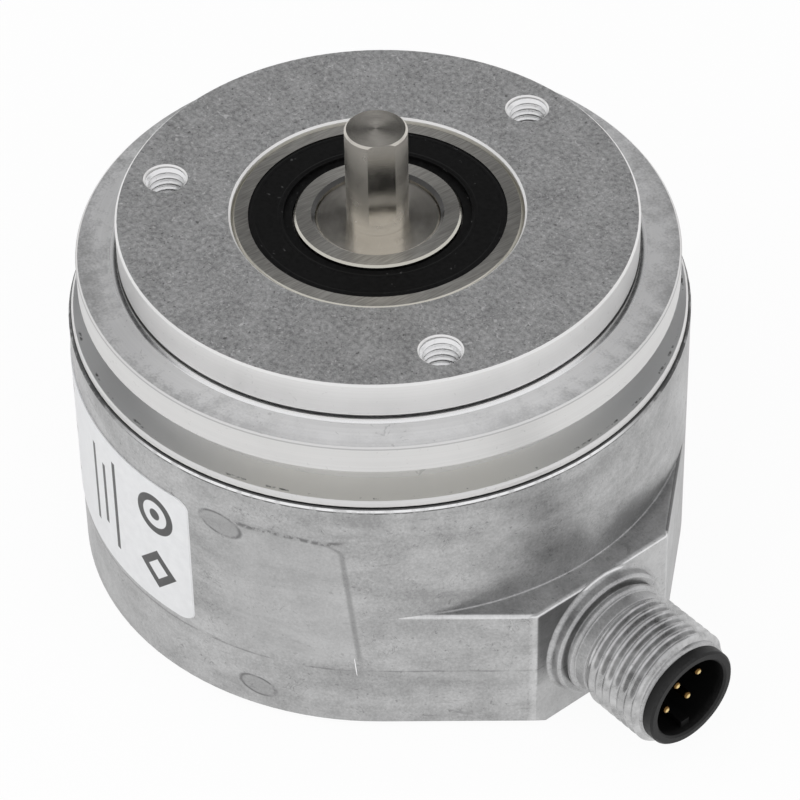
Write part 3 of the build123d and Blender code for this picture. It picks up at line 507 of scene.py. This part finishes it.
def smooth_field(g, color, wall):
    """The smooth field beside the label, which ends in a step and wrinkled lines, and the parting line."""
    wave = g.times(g.minus(g.noise(240, 3.0), 0.5), 1.2 * MM)
    wavy_z = g.total(g.z, wave)
    edge = g.total(g.times(g.total(g.z, -FIELD_MIDDLE_Z), FIELD_EDGE_LEAN), FIELD_EDGE_ANGLE)
    corner = g.times(g.span(g.z, FIELD_TOP_Z - 1.4 * MM, FIELD_TOP_Z, smooth=True), FIELD_CORNER)
    inside = g.minus(g.total(edge, corner), g.angle)
    field = g.times(
        g.span(inside, -0.004, 0.010, smooth=True),
        g.span(wavy_z, FIELD_TOP_Z + 0.1 * MM, FIELD_TOP_Z - 0.3 * MM),
        g.span(g.z, PARTING_Z + 0.1 * MM, PARTING_Z + 1.5 * MM),
        g.span(g.angle, FIELD_LEFT_ANGLE - FIELD_LEFT_SOFT, FIELD_LEFT_ANGLE + FIELD_LEFT_SOFT),
        wall,
    )
    # Painted shadow line along the step at the field's right edge
    step_shadow_line = g.times(
        g.within(inside, -0.006, 0.004, 0.008),
        g.within(g.z, FIELD_MIDDLE_Z - 1.0 * MM, 7.0 * MM, 1.0 * MM),
        wall,
    )
    top_line = g.times(
        g.within(wavy_z, FIELD_TOP_Z, 0.08 * MM, 0.25 * MM),
        g.within(g.angle, TOP_LINE_ANGLE, TOP_LINE_HALF, TOP_LINE_SOFT),
        g.span(g.noise(1300, 3.0, 0.6), 0.44, 0.56),
        wall,
    )
    parting = g.times(
        g.within(g.total(g.z, g.times(wave, 0.3)), PARTING_Z, 0.03 * MM, 0.12 * MM),
        g.span(g.noise(420, 3.0, 0.6), 0.38, 0.54),
        wall,
    )
    color = g.stain(color, field, 0.35, 0.545)
    color = g.stain(color, step_shadow_line, 0.55, 0.24)
    color = g.stain(color, top_line, 0.75, 0.14)
    color = g.stain(color, parting, 0.6, 0.2)
    return color, field, top_line


def ejector_marks(g, color, blotch, wall):
    """Shallow round marks that the ejector pins left in the wall, each with a broken dark rim."""
    marks = []
    for mark_angle, mark_z, half_wide, half_high, lean in EJECTOR_MARKS:
        across = g.times(g.minus(g.angle, radians(mark_angle)), WALL_RADIUS / (half_wide * MM))
        along = g.math("DIVIDE", g.minus(g.z, mark_z * MM), half_high * MM)
        marks.append(g.distance(across, g.total(along, g.times(across, lean))))
    away = g.chain("MINIMUM", *marks)
    mark = g.times(g.span(away, 0.85, 1.02, 1.0, 0.0), wall)
    rim = g.times(g.within(away, 0.98, 0.03, 0.12), g.span(blotch, 0.40, 0.52), wall)
    color = g.stain(color, mark, g.span(blotch, 0.3, 0.6, 0.10, 0.35), 0.24)
    return g.stain(color, rim, 0.75, 0.13), mark


def cup_edge(g, color):
    """The cup's edge at the joint: a patchy painted highlight in front with a broken dark line below it,
    painted shade at the sides, and the dark joint.
    """
    front = g.within(g.angle, FRONT_ANGLE, 0.75, 0.35)
    broken = g.span(g.noise(900, 3.0, 0.6), 0.38, 0.52)
    # Painted highlight on the cup's edge in front, broken by noise
    patchy_highlight = g.times(g.within(g.z, SEAM_Z - 0.16 * MM, 0.08 * MM, 0.03 * MM), front,
                   g.span(broken, 0.0, 1.0, 0.5, 1.0))
    color = g.blend(patchy_highlight, color, 0.98)
    # Below it a broken dark line in front, and painted shade along the edge at the sides
    below = g.times(g.within(g.z, SEAM_Z - 0.37 * MM, 0.03 * MM, 0.04 * MM), front, broken)
    beside = g.times(g.within(g.z, SEAM_Z - 0.12 * MM, 0.14 * MM, 0.06 * MM), g.opposite(front),
                     g.span(broken, 0.0, 1.0, 0.4, 1.0))
    joint = g.within(g.z, SEAM_Z, 0.04 * MM, 0.03 * MM)
    return g.stain(color, g.either(joint, below, beside), 0.85, 0.03)


def boss_edges(g, rounded, blotch):
    """Masks of the edges of the boss and its pad: painted highlights, and painted shade on the far one."""
    flatness = g.dot(rounded, g.add("ShaderNodeNewGeometry").outputs["Normal"])
    stub = g.span(g.x, PAD_X + 0.1 * MM, PAD_X + 0.3 * MM)
    pad_end = g.span(g.x, PAD_X - 0.6 * MM, PAD_X - 0.4 * MM)
    far_side = g.span(g.y, PAD_HALF + 0.1 * MM, PAD_HALF + 0.4 * MM)
    sharp_edge = g.times(g.span(flatness, 0.985, 0.90), g.span(stub, 0.0, 1.0, 0.12, 0.28),
                         g.span(g.y, 4 * MM, 14 * MM, 1.0, 0.0))
    rounding = g.within(g.z, BOSS_TOP_Z - 0.1 * MM, 0.25 * MM, 0.1 * MM)
    wide = g.times(g.within(g.facing_z, 0.6, 0.30, 0.08), g.span(pad_end, 0.0, 1.0, 0.9, 0.0))
    slim = g.times(g.within(g.facing_z, 0.55, 0.10, 0.14), pad_end)
    top_edge = g.times(rounding, g.either(wide, slim), g.opposite(stub))
    near_edge = g.times(top_edge, g.opposite(far_side))
    corner_edge = g.times(
        g.within(g.math("ABSOLUTE", g.y), PAD_HALF, 0.30 * MM, 0.3 * MM),
        g.within(g.facing_x, 0.80, 0.12, 0.06),
        g.span(g.x, PAD_X - 0.9 * MM, PAD_X - 0.5 * MM),
    )
    # The painted highlights vary in strength with the blotch noise
    patchy_highlight = g.span(blotch, 0.35, 0.60, 0.45, 0.80)
    bright = g.either(sharp_edge, g.times(near_edge, patchy_highlight), g.times(corner_edge, patchy_highlight, 0.35))
    return bright, g.times(top_edge, far_side)


def pad_shade(g, color):
    """The pad's face with painted shade, dark in its upper near part and painted lighter round it."""
    face = g.times(g.span(g.facing_x, 0.95, 0.99), g.within(g.x, PAD_X, 0.08 * MM, 0.05 * MM))
    shade = g.times(g.span(g.y, 2.0 * MM, -2.0 * MM), g.span(g.z, REAR_Z + 4.5 * MM, REAR_Z + 8.5 * MM))
    # Painted light round the pad's face, then painted shade in its upper near part
    color = g.stain(color, face, g.span(shade, 0.0, 1.0, 0.28, 0.0), 0.70)
    return g.stain(color, g.times(face, shade), 0.7, 0.12)


def thread_finish(name, dark, light):
    """Bright metal in the cut and cast threads."""
    g = Graph(name)
    cloud = g.noise(420, 4.0, 0.65)
    grain = g.noise(2600, 3.0, 0.7)
    color = g.blend(g.span(cloud, 0.35, 0.65), dark, light)
    color = g.stain(color, g.span(grain, 0.6, 0.72), 0.5, dark * 0.6)
    rough = g.span(cloud, 0.3, 0.7, 0.22, 0.38)
    normal = g.bump(g.total(cloud, g.times(grain, 0.3)), 0.03 * MM, 0.6)
    return g.surface(color, rough, normal, 1.0)


def burr_finish():
    """Bright cut edge, painted as a highlight in front and grey away from it."""
    g = RoundGraph("bright_cut_edge")
    grain = g.noise(1800, 3.0, 0.6)
    bright = g.blend(grain, 0.95, 0.99)
    # Painted highlight: bright only round the front, grey at the sides
    color = g.blend(g.within(g.angle, FRONT_ANGLE, 0.8, 0.5), 0.45, bright)
    return g.surface(color, g.span(grain, 0.3, 0.7, 0.16, 0.24), g.bump(grain, 0.004 * MM, 0.4), 1.0)


def ground_steel(name, dark, light, wall_rough, face_rough, anisotropic, corner=0.0, hatched=False,
                 flat_angle=None):
    """Metal turned or ground about the shaft axis, or hatched straight across. By the share called corner,
    slanted edges that face the axis are dark and those that face away from it get a painted highlight. A
    flat is smoother."""
    g = RoundGraph(name)
    up = g.math("ABSOLUTE", g.facing_z)
    level = g.span(up, 0.95, 0.99)
    slanted = g.times(g.span(up, 0.10, 0.20), g.span(up, 0.99, 0.95))
    lay = g.streaks(-1.49, 7000, 500) if hatched else g.turned_lay(0.8)
    color = g.blend(g.span(lay, 0.3, 0.7), dark, light)
    outward = g.span(g.weigh((g.x, g.facing_x), (g.y, g.facing_y)), -1 * MM, 1 * MM)
    # Slanted edges facing away from the axis get a painted highlight, those facing it are dark
    color = g.stain(color, slanted, corner, g.blend(outward, 0.04, (0.66, 0.64, 0.57)))
    rough = g.total(g.times(level, face_rough - wall_rough), wall_rough)
    if flat_angle is not None:
        facing = g.dot(g.normal, (cos(flat_angle), sin(flat_angle), 0.0))
        flat = g.times(g.span(facing, 0.997, 0.9995),
                       g.span(g.z, FLAT_END_Z - 0.1 * MM, FLAT_END_Z + 0.1 * MM))
        rough = g.total(rough, g.times(flat, FLAT_ROUGH - wall_rough))
    rough = g.total(rough, g.span(g.noise(600, 3.0), 0.3, 0.7, -0.02, 0.03))
    g.lay_round_axis()
    return g.surface(color, rough, g.bump(lay, 0.004 * MM, 0.4), 1.0, Anisotropic=anisotropic)


def moulded(name, dark, light, rough, scale=900, depth=0.02 * MM, metallic=0.0):
    """Plastic, rubber or plated metal with a fine texture."""
    g = Graph(name)
    cloud = g.noise(scale * 0.2, 4.0)
    grain = g.noise(scale * 2.5, 3.0, 0.6)
    color = g.blend(g.span(cloud, 0.35, 0.65), dark, light)
    wear = g.span(g.total(cloud, g.times(grain, 0.5)), 0.5, 1.0, rough * 0.85, rough * 1.2)
    return g.surface(color, wear, g.bump(grain, depth, 0.6), metallic)


def seal_finish():
    """Black rubber seal with the faint rings of its mould."""
    g = RoundGraph("black_nitrile_seal")
    grain = g.noise(2400, 3.0, 0.6)
    dust = g.span(g.noise(1500, 2.0), 0.70, 0.76)
    color = g.blend(g.span(grain, 0.3, 0.7), 0.003, 0.008)
    color = g.stain(color, dust, 0.5, 0.12)
    rings = g.either(g.within(g.radius, SEAL_OUTER_RING, 0.10 * MM, 0.12 * MM),
                     g.within(g.radius, SEAL_INNER_RING, 0.08 * MM, 0.12 * MM))
    height = g.total(rings, g.times(grain, 0.12))
    rough = g.span(grain, 0.3, 0.7, 0.42, 0.56)
    return g.surface(color, rough, g.bump(height, 0.05 * MM, 0.8), 0.0, **{"Specular IOR Level": 0.05})


def contact_finish():
    """Gold, with a painted highlight on the tips and painted shade down the sides where the socket shades
    them.
    """
    g = Graph("gold_plated_contact")
    tip = g.span(g.split(g.normal)[0], 0.80, 0.97)
    wear = g.noise(2500, 3.0)
    # Painted highlight on the tips, painted shade on the sides
    color = g.blend(tip, (0.16, 0.09, 0.03), g.blend(wear, (0.80, 0.58, 0.24), (0.90, 0.70, 0.34)))
    return g.surface(color, g.span(wear, 0.3, 0.7, 0.18, 0.28), g.bump(wear, 0.004 * MM, 0.4), 1.0)


def insert_finish():
    """Black moulding, with painted shade that makes it darker down inside its socket."""
    g = Graph("black_connector_insert")
    outside = g.span(g.split(g.place)[0], INSERT_END - 1.1 * MM, INSERT_END - 0.2 * MM)
    grain = g.noise(3200, 3.0, 0.6)
    color = g.blend(g.span(grain, 0.3, 0.7), 0.010, 0.020)
    # Painted shade down inside the socket
    color = g.blend(outside, 0.003, color)
    normal = g.bump(grain, 0.02 * MM, 0.6)
    return g.surface(color, g.span(grain, 0.3, 0.7, 0.40, 0.55), normal, 0.0, **{"Specular IOR Level": 0.22})


def label_finish():
    """White film with plain printed shapes: a ring round a dot, the outline of a diamond, and bars."""
    g = RoundGraph("printed_label_film")
    across = g.times(g.angle, WALL_RADIUS / MM)
    up = g.math("DIVIDE", g.z, MM)

    def from_point(point_angle, point_z):
        return g.minus(across, radians(point_angle) * WALL_RADIUS / MM), g.minus(up, point_z)

    def bar(point_angle, point_z, half_wide, half_high):
        x, y = from_point(point_angle, point_z)
        return g.times(g.within(x, 0.0, half_wide, PRINT_BLUR), g.within(y, 0.0, half_high, PRINT_BLUR))

    away = g.distance(*from_point(*PRINT_RING))
    x, y = from_point(*PRINT_DIAMOND)
    diamond = g.total(g.math("ABSOLUTE", x), g.math("ABSOLUTE", y))
    shapes = [
        g.within(away, PRINT_RING_RADIUS, PRINT_RING_HALF, 0.06),
        g.span(away, PRINT_DOT_RADIUS - 0.04, PRINT_DOT_RADIUS + 0.04, 1.0, 0.0),
        g.within(diamond, PRINT_DIAMOND_REACH, PRINT_DIAMOND_HALF, 0.06),
    ]
    for bar_angle, half_high in PRINT_BARS:
        shapes.append(bar(bar_angle, PRINT_BARS_Z, PRINT_BAR_HALF, half_high))
    row_angle, first_z = PRINT_ROWS_PLACE
    for row in range(PRINT_ROWS):
        half_wide = PRINT_ROW_HALF - (row % 3) * PRINT_ROW_SHORTER
        shapes.append(bar(row_angle, first_z - PRINT_ROW_STEP * row, half_wide, PRINT_ROW_THICK))
    fibre = g.noise(900, 4.0)
    white = g.blend(g.span(fibre, 0.3, 0.7), (0.74, 0.745, 0.75), (0.80, 0.805, 0.81))
    ink = g.blend(g.noise(3000, 2.0), 0.035, 0.07)
    color = g.blend(g.either(*shapes), white, ink)
    rough = g.span(fibre, 0.3, 0.7, 0.32, 0.42)
    return g.surface(color, rough, g.bump(fibre, 0.01 * MM, 0.4), 0.0)


def board_finish():
    """Green solder mask over copper tracks."""
    g = Graph("solder_mask_board")
    tracks = g.add("ShaderNodeTexVoronoi", feature="DISTANCE_TO_EDGE")
    g.feed(tracks.inputs["Vector"], g.place)
    tracks.inputs["Scale"].default_value = 420
    line = g.span(tracks.outputs["Distance"], 0.05, 0.08, 1.0, 0.0)
    weave = g.noise(1600, 3.0)
    color = g.blend(g.span(weave, 0.3, 0.7), (0.012, 0.10, 0.045), (0.02, 0.14, 0.06))
    color = g.stain(color, line, 0.7, (0.04, 0.24, 0.10))
    return g.surface(color, g.span(weave, 0.3, 0.7, 0.3, 0.42), g.bump(line, 0.03 * MM, 0.7), 0.0)


def disc_finish():
    """Etched sheet: a dark track ring between brighter turned ground."""
    g = RoundGraph("etched_disc_sheet")
    lay = g.turned_lay(0.5)
    track = g.within(g.radius, DISC_TRACK_RADIUS, DISC_TRACK_HALF, 0.1 * MM)
    ground = g.blend(g.span(lay, 0.3, 0.7), 0.55, 0.68)
    color = g.blend(track, ground, 0.10)
    return g.surface(color, g.span(lay, 0.3, 0.7, 0.16, 0.26), g.bump(lay, 0.004 * MM, 0.4), 1.0)


GREY_STEEL = ground_steel("ground_bearing_steel", (0.30, 0.29, 0.27), (0.50, 0.49, 0.46), wall_rough=0.18,
                          face_rough=0.34, anisotropic=0.7, corner=0.92, hatched=True)
SHAFT_STEEL = ground_steel("ground_stainless_shaft", (0.62, 0.59, 0.54), (0.70, 0.67, 0.61), wall_rough=0.25,
                           face_rough=0.20, anisotropic=0.85, flat_angle=FLAT_ANGLE)
SPRING_STEEL = ground_steel("rolled_spring_steel", 0.22, 0.34, wall_rough=0.26, face_rough=0.30,
                            anisotropic=0.3)
ZINC = moulded("zinc_plated_steel", 0.50, 0.66, 0.26, scale=1400, depth=0.01 * MM, metallic=1.0)
RUBBER = moulded("black_o_ring_rubber", 0.008, 0.014, 0.45)
BLACK_PLASTIC = moulded("black_moulded_plastic", (0.016, 0.016, 0.017), (0.03, 0.03, 0.032), 0.42,
                        scale=1300)
CAGE_PLASTIC = moulded("natural_cage_plastic", (0.42, 0.36, 0.22), (0.50, 0.44, 0.28), 0.40)
CHIP_PLASTIC = moulded("chip_moulding", 0.018, 0.03, 0.5, scale=1800)
SOCKET_PLASTIC = moulded("ivory_socket_plastic", (0.62, 0.58, 0.48), (0.70, 0.66, 0.56), 0.4)
LED_RESIN = moulded("clear_led_resin", (0.60, 0.66, 0.70), (0.70, 0.75, 0.80), 0.12, scale=700,
                    depth=0.005 * MM)
BRASS = moulded("turned_brass", (0.58, 0.40, 0.14), (0.72, 0.54, 0.22), 0.24, scale=1500, depth=0.01 * MM,
                metallic=1.0)
FILM = moulded("polyimide_film", (0.42, 0.17, 0.02), (0.52, 0.24, 0.04), 0.28)
HUB_ALUMINIUM = ground_steel("turned_hub_aluminium", 0.62, 0.76, wall_rough=0.22, face_rough=0.30,
                             anisotropic=0.5)
CASTING = casting_finish()
TUMBLED = tumbled_finish()
TURNED = turned_finish()
THREAD = thread_finish("rubbed_thread_aluminium", 0.36, 0.66)
BURR = burr_finish()
CUT_THREAD = thread_finish("cut_thread_aluminium", 0.90, 0.98)
SEAL = seal_finish()
BOARD = board_finish()

FINISHES = {
    "flange": TURNED, "housing": CASTING, "housing_o_ring": RUBBER, "housing_screws": ZINC,
    "front_bearing_outer_ring": GREY_STEEL, "rear_bearing_outer_ring": GREY_STEEL,
    "front_bearing_inner_ring": GREY_STEEL, "rear_bearing_inner_ring": GREY_STEEL,
    "front_bearing_seals": SEAL, "rear_bearing_seals": SEAL,
    "front_bearing_balls": GREY_STEEL, "rear_bearing_balls": GREY_STEEL,
    "front_bearing_cage": CAGE_PLASTIC, "rear_bearing_cage": CAGE_PLASTIC,
    "preload_spring": SPRING_STEEL, "retaining_ring": SPRING_STEEL, "bearing_spacer": SHAFT_STEEL,
    "shaft": SHAFT_STEEL, "disc_hub": HUB_ALUMINIUM, "code_disc": disc_finish(), "hub_screw": ZINC,
    "light_source_holder": BLACK_PLASTIC, "holder_screws": ZINC, "led": LED_RESIN,
    "circuit_board": BOARD, "connector_board": BOARD, "sensor_chip": CHIP_PLASTIC,
    "board_components": CHIP_PLASTIC, "board_socket": SOCKET_PLASTIC, "board_standoffs": BRASS,
    "board_screws": ZINC, "connector_insert": insert_finish(), "connector_o_ring": RUBBER,
    "contact_pins": contact_finish(), "connector_flex": FILM, "label": label_finish(),
}
for node, finish in FINISHES.items():
    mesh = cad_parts[node].data
    mesh.materials.clear()
    mesh.materials.append(finish)

# The pilot's front face is tumbled, the rest of the flange is turned
flange_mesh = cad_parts["flange"].data
flange_mesh.materials.append(TUMBLED)
for face in flange_mesh.polygons:
    face.material_index = int(face.normal.z > 0.9 and face.center.z > PILOT_Z - 0.05 * MM)


def piece(name, vertices, faces, finish, body="root"):
    """A smooth mesh made in the row frame that rides on a body."""
    mesh = bpy.data.meshes.new(name)
    mesh.from_pydata(vertices, [], faces)
    mesh.validate()
    mesh.polygons.foreach_set("use_smooth", [True] * len(mesh.polygons))
    mesh.materials.append(finish)
    made = bpy.data.objects.new(name, mesh)
    bpy.context.scene.collection.objects.link(made)
    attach(made, body)


def closed_grid(rows, columns):
    """Faces of a grid that closes round its columns and also from its last row to its first."""
    return [
        (r * columns + c, r * columns + (c + 1) % columns,
         (r + 1) % rows * columns + (c + 1) % columns, (r + 1) % rows * columns + c)
        for r in range(rows) for c in range(columns)
    ]


def limited(value):
    return min(max(value, 0.0), 1.0)


def ridge(phase, crest, root):
    """Height of a thread at a phase from 0 to 1, with a blunt crest and root and straight flanks."""
    away = abs((phase % 1.0) - 0.5) * 2
    return 1 - limited((away - crest) / (1 - crest - root))


def thread_skin(name, length, steps, columns, radius_at, back_radius, point_at, finish):
    """A closed skin round an axis. Its front follows radius_at, its back is plain, point_at places both."""
    rows = [(length * row / steps, radius_at) for row in range(steps + 1)]
    rows += [(along, lambda along, turn: back_radius) for along in (length, 0.0)]
    turns = [tau * column / columns for column in range(columns)]
    vertices = [point_at(along, radius(along, turn), turn) for along, radius in rows for turn in turns]
    piece(name, vertices, closed_grid(len(rows), columns), finish)


def connector_thread():
    """Outer thread of the connector; its crests stop at two smooth lands where the moulds met."""
    start = METAL_END - THREAD_LENGTH
    length = THREAD_LENGTH - THREAD_END_GAP
    base = THREAD_CORE - THREAD_SINK

    def radius_at(along, turn):
        off_first = abs((turn - LAND_MIDDLE + pi) % tau - pi)
        off_second = abs((pi - turn - LAND_MIDDLE + pi) % tau - pi)
        open_share = limited((min(off_first, off_second) - LAND_HALF) / LAND_BLEND)
        height = ridge(along / THREAD_PITCH - turn / tau, THREAD_CREST_SHARE, THREAD_ROOT_SHARE)
        crest = THREAD_CORE + (THREAD_CREST - THREAD_CORE) * height
        land = LAND_RADIUS + LAND_RIPPLE * (2 * height - 1)
        radius = land + (crest - land) * open_share
        fade = limited(along / THREAD_LEAD_IN) * limited((length - along) / THREAD_LEAD_OUT)
        return base + (radius - base) * fade

    def point_at(along, radius, turn):
        return start + along, radius * cos(turn), AXIS_Z + radius * sin(turn)

    thread_skin("connector_thread", length, THREAD_STEPS, THREAD_COLUMNS, radius_at, base - THREAD_BACKING,
                point_at, THREAD)


def hole_thread(index, place_angle):
    """Inner thread of one of the three fixing holes."""
    centre = Vector((HOLE_CIRCLE * cos(radians(place_angle)), HOLE_CIRCLE * sin(radians(place_angle)), 0.0))

    def radius_at(down, turn):
        height = ridge(down / HOLE_PITCH - turn / tau, HOLE_CREST_SHARE, HOLE_ROOT_SHARE)
        lead_in = max(HOLE_MOUTH - down, HOLE_CORE)
        return max(HOLE_RADIUS - (HOLE_RADIUS - HOLE_CORE) * height, lead_in)

    def point_at(down, radius, turn):
        return centre.x + radius * cos(turn), centre.y + radius * sin(turn), PILOT_Z - HOLE_THREAD_TOP - down

    thread_skin(f"fixing_hole_thread_{index}", HOLE_THREAD_LENGTH, HOLE_STEPS, HOLE_COLUMNS, radius_at,
                HOLE_MOUTH + HOLE_BACKING, point_at, CUT_THREAD)


def relief_bead():
    """A fine burr that the relief groove leaves on the clamping ring, round the foot of the pilot."""
    vertices = []
    for out, up in BEAD_SECTION:
        radius = PILOT_RADIUS + out * MM
        for column in range(BEAD_COLUMNS):
            turn = tau * column / BEAD_COLUMNS
            vertices.append((radius * cos(turn), radius * sin(turn), RING_Z + up * MM))
    piece("relief_bead", vertices, closed_grid(len(BEAD_SECTION), BEAD_COLUMNS), BURR)


def flash_ridge(name, first_angle, lean, first_z, count, width, height):
    """A low tapered ridge of casting flash that runs down the wall."""
    vertices = []
    for i in range(count):
        taper = sin(pi * (i + 0.5) / count) ** 0.5
        half = width * taper / 2
        for offset, rise in ((-half, -FLASH_SINK), (0.0, height * taper), (half, -FLASH_SINK)):
            turn = radians(first_angle + lean * i) + offset * MM / WALL_RADIUS
            radius = WALL_RADIUS + rise * MM
            vertices.append((radius * cos(turn), radius * sin(turn), (first_z - FLASH_STEP * i) * MM))
    faces = [(3 * i + j, 3 * i + (j + 1) % 3, 3 * i + 3 + (j + 1) % 3, 3 * i + 3 + j)
             for i in range(count - 1) for j in range(3)]
    faces += [(0, 2, 1), (3 * count - 3, 3 * count - 2, 3 * count - 1)]
    piece(name, vertices, faces, BURR)


connector_thread()
relief_bead()
for index, place_angle in enumerate(HOLE_ANGLES):
    hole_thread(index + 1, place_angle)
for ridge_values in FLASH_RIDGES:
    flash_ridge(*ridge_values)


def floor():
    """A pale floor that looks almost white to the eye and still takes soft shadows."""
    g = Graph("pale_floor")
    tone = g.noise(3.0, 2.0)
    g.surface(g.blend(tone, 0.86, 0.90), g.span(tone, 0.0, 1.0, 0.55, 0.65), None, 0.0)
    rays = g.add("ShaderNodeLightPath")
    straight = g.either(rays.outputs["Is Camera Ray"], rays.outputs["Is Transmission Ray"])
    seen = g.either(g.times(straight, 0.94), g.times(rays.outputs["Is Glossy Ray"], 0.6))
    glow = g.add("ShaderNodeEmission")
    mixed = g.mix(seen, g.shader.outputs[0], glow.outputs[0])
    g.feed(g.tree.nodes["Material Output"].inputs["Surface"], mixed)
    mesh = bpy.data.meshes.new("floor")
    low = REAR_Z - FLOOR_GAP
    corners = ((-1, -1), (1, -1), (1, 1), (-1, 1))
    mesh.from_pydata([(x * FLOOR_HALF, y * FLOOR_HALF, low) for x, y in corners], [], [(0, 1, 2, 3)])
    mesh.materials.append(g.material)
    made = bpy.data.objects.new("floor", mesh)
    bpy.context.scene.collection.objects.link(made)


def sky():
    """White all round but for a dark opening behind the object, which its level metal faces mirror."""
    world = bpy.data.worlds.new("studio")
    bpy.context.scene.world = world
    world.use_nodes = True
    world.node_tree.nodes.clear()
    t = Tree(world.node_tree)
    place = t.add("ShaderNodeTexCoord").outputs["Generated"]
    height = t.split(place)[2]
    ramp = t.add("ShaderNodeValToRGB")
    ramp.color_ramp.interpolation = "EASE"
    stops = ramp.color_ramp.elements
    stops.new(SKY_STOPS[1][0])
    for stop, (position, color) in zip(stops, SKY_STOPS):
        stop.position = position
        stop.color = paint(color)
    t.feed(ramp.inputs[0], height)
    turn = radians(CAMERA_AZIMUTH)
    behind = t.span(t.dot(place, (-sin(turn), cos(turn), 0.0)), 0.02, 0.40, smooth=True)
    above = t.span(height, sin(radians(GAP_LOW - GAP_FADE)), sin(radians(GAP_LOW)), smooth=True)
    below = t.span(height, sin(radians(GAP_HIGH + GAP_FADE)), sin(radians(GAP_HIGH)), smooth=True)
    soft = t.add("ShaderNodeBackground")
    t.feed(soft.inputs["Color"], t.blend(t.times(behind, above, below), ramp.outputs[0], 0.05))
    white = t.add("ShaderNodeBackground")
    t.feed(white.inputs["Color"], paint(1.0))
    rays = t.add("ShaderNodeLightPath")
    mixed = t.mix(rays.outputs["Is Camera Ray"], soft.outputs[0], white.outputs[0])
    t.feed(t.add("ShaderNodeOutputWorld").inputs["Surface"], mixed)


def direction(azimuth, elevation):
    """Unit vector from the object toward an azimuth and an elevation, both in radians."""
    return Vector((sin(azimuth) * cos(elevation), -cos(azimuth) * cos(elevation), sin(elevation)))


def lamp(name, azimuth, elevation, distance, size, power):
    """A soft box at a direction from the object; azimuth 0 is the camera's side, positive to its right."""
    data = bpy.data.lights.new(name, "AREA")
    data.shape = "RECTANGLE"
    data.size, data.size_y = size
    data.energy = power
    made = bpy.data.objects.new(name, data)
    away = direction(radians(CAMERA_AZIMUTH + azimuth), radians(elevation))
    made.location = LAMP_AIM + away * distance
    made.rotation_mode = "QUATERNION"
    made.rotation_quaternion = away.to_track_quat("Z", "Y")
    made.visible_glossy = False
    bpy.context.scene.collection.objects.link(made)


def camera():
    data = bpy.data.cameras.new("view")
    data.sensor_width = SENSOR_WIDTH
    data.lens = SENSOR_WIDTH * FOCAL_PIXELS / PHOTO_PIXELS
    data.clip_start, data.clip_end = 0.01, 20
    made = bpy.data.objects.new("view", data)
    azimuth, roll = radians(CAMERA_AZIMUTH), radians(CAMERA_ROLL)
    back = direction(azimuth, radians(CAMERA_ELEVATION))
    right = Vector((cos(azimuth), sin(azimuth), 0.0))
    up = back.cross(right)
    rolled_right = right * cos(roll) + up * sin(roll)
    rolled_up = up * cos(roll) - right * sin(roll)
    turn = Matrix((rolled_right, rolled_up, back)).transposed()
    made.matrix_world = Matrix.Translation(CAMERA_TARGET + back * CAMERA_DISTANCE) @ turn.to_4x4()
    bpy.context.scene.collection.objects.link(made)
    bpy.context.scene.camera = made


floor()
sky()
for lamp_values in LAMPS:
    lamp(*lamp_values)
camera()
bpy.context.scene.view_settings.view_transform = "Standard"
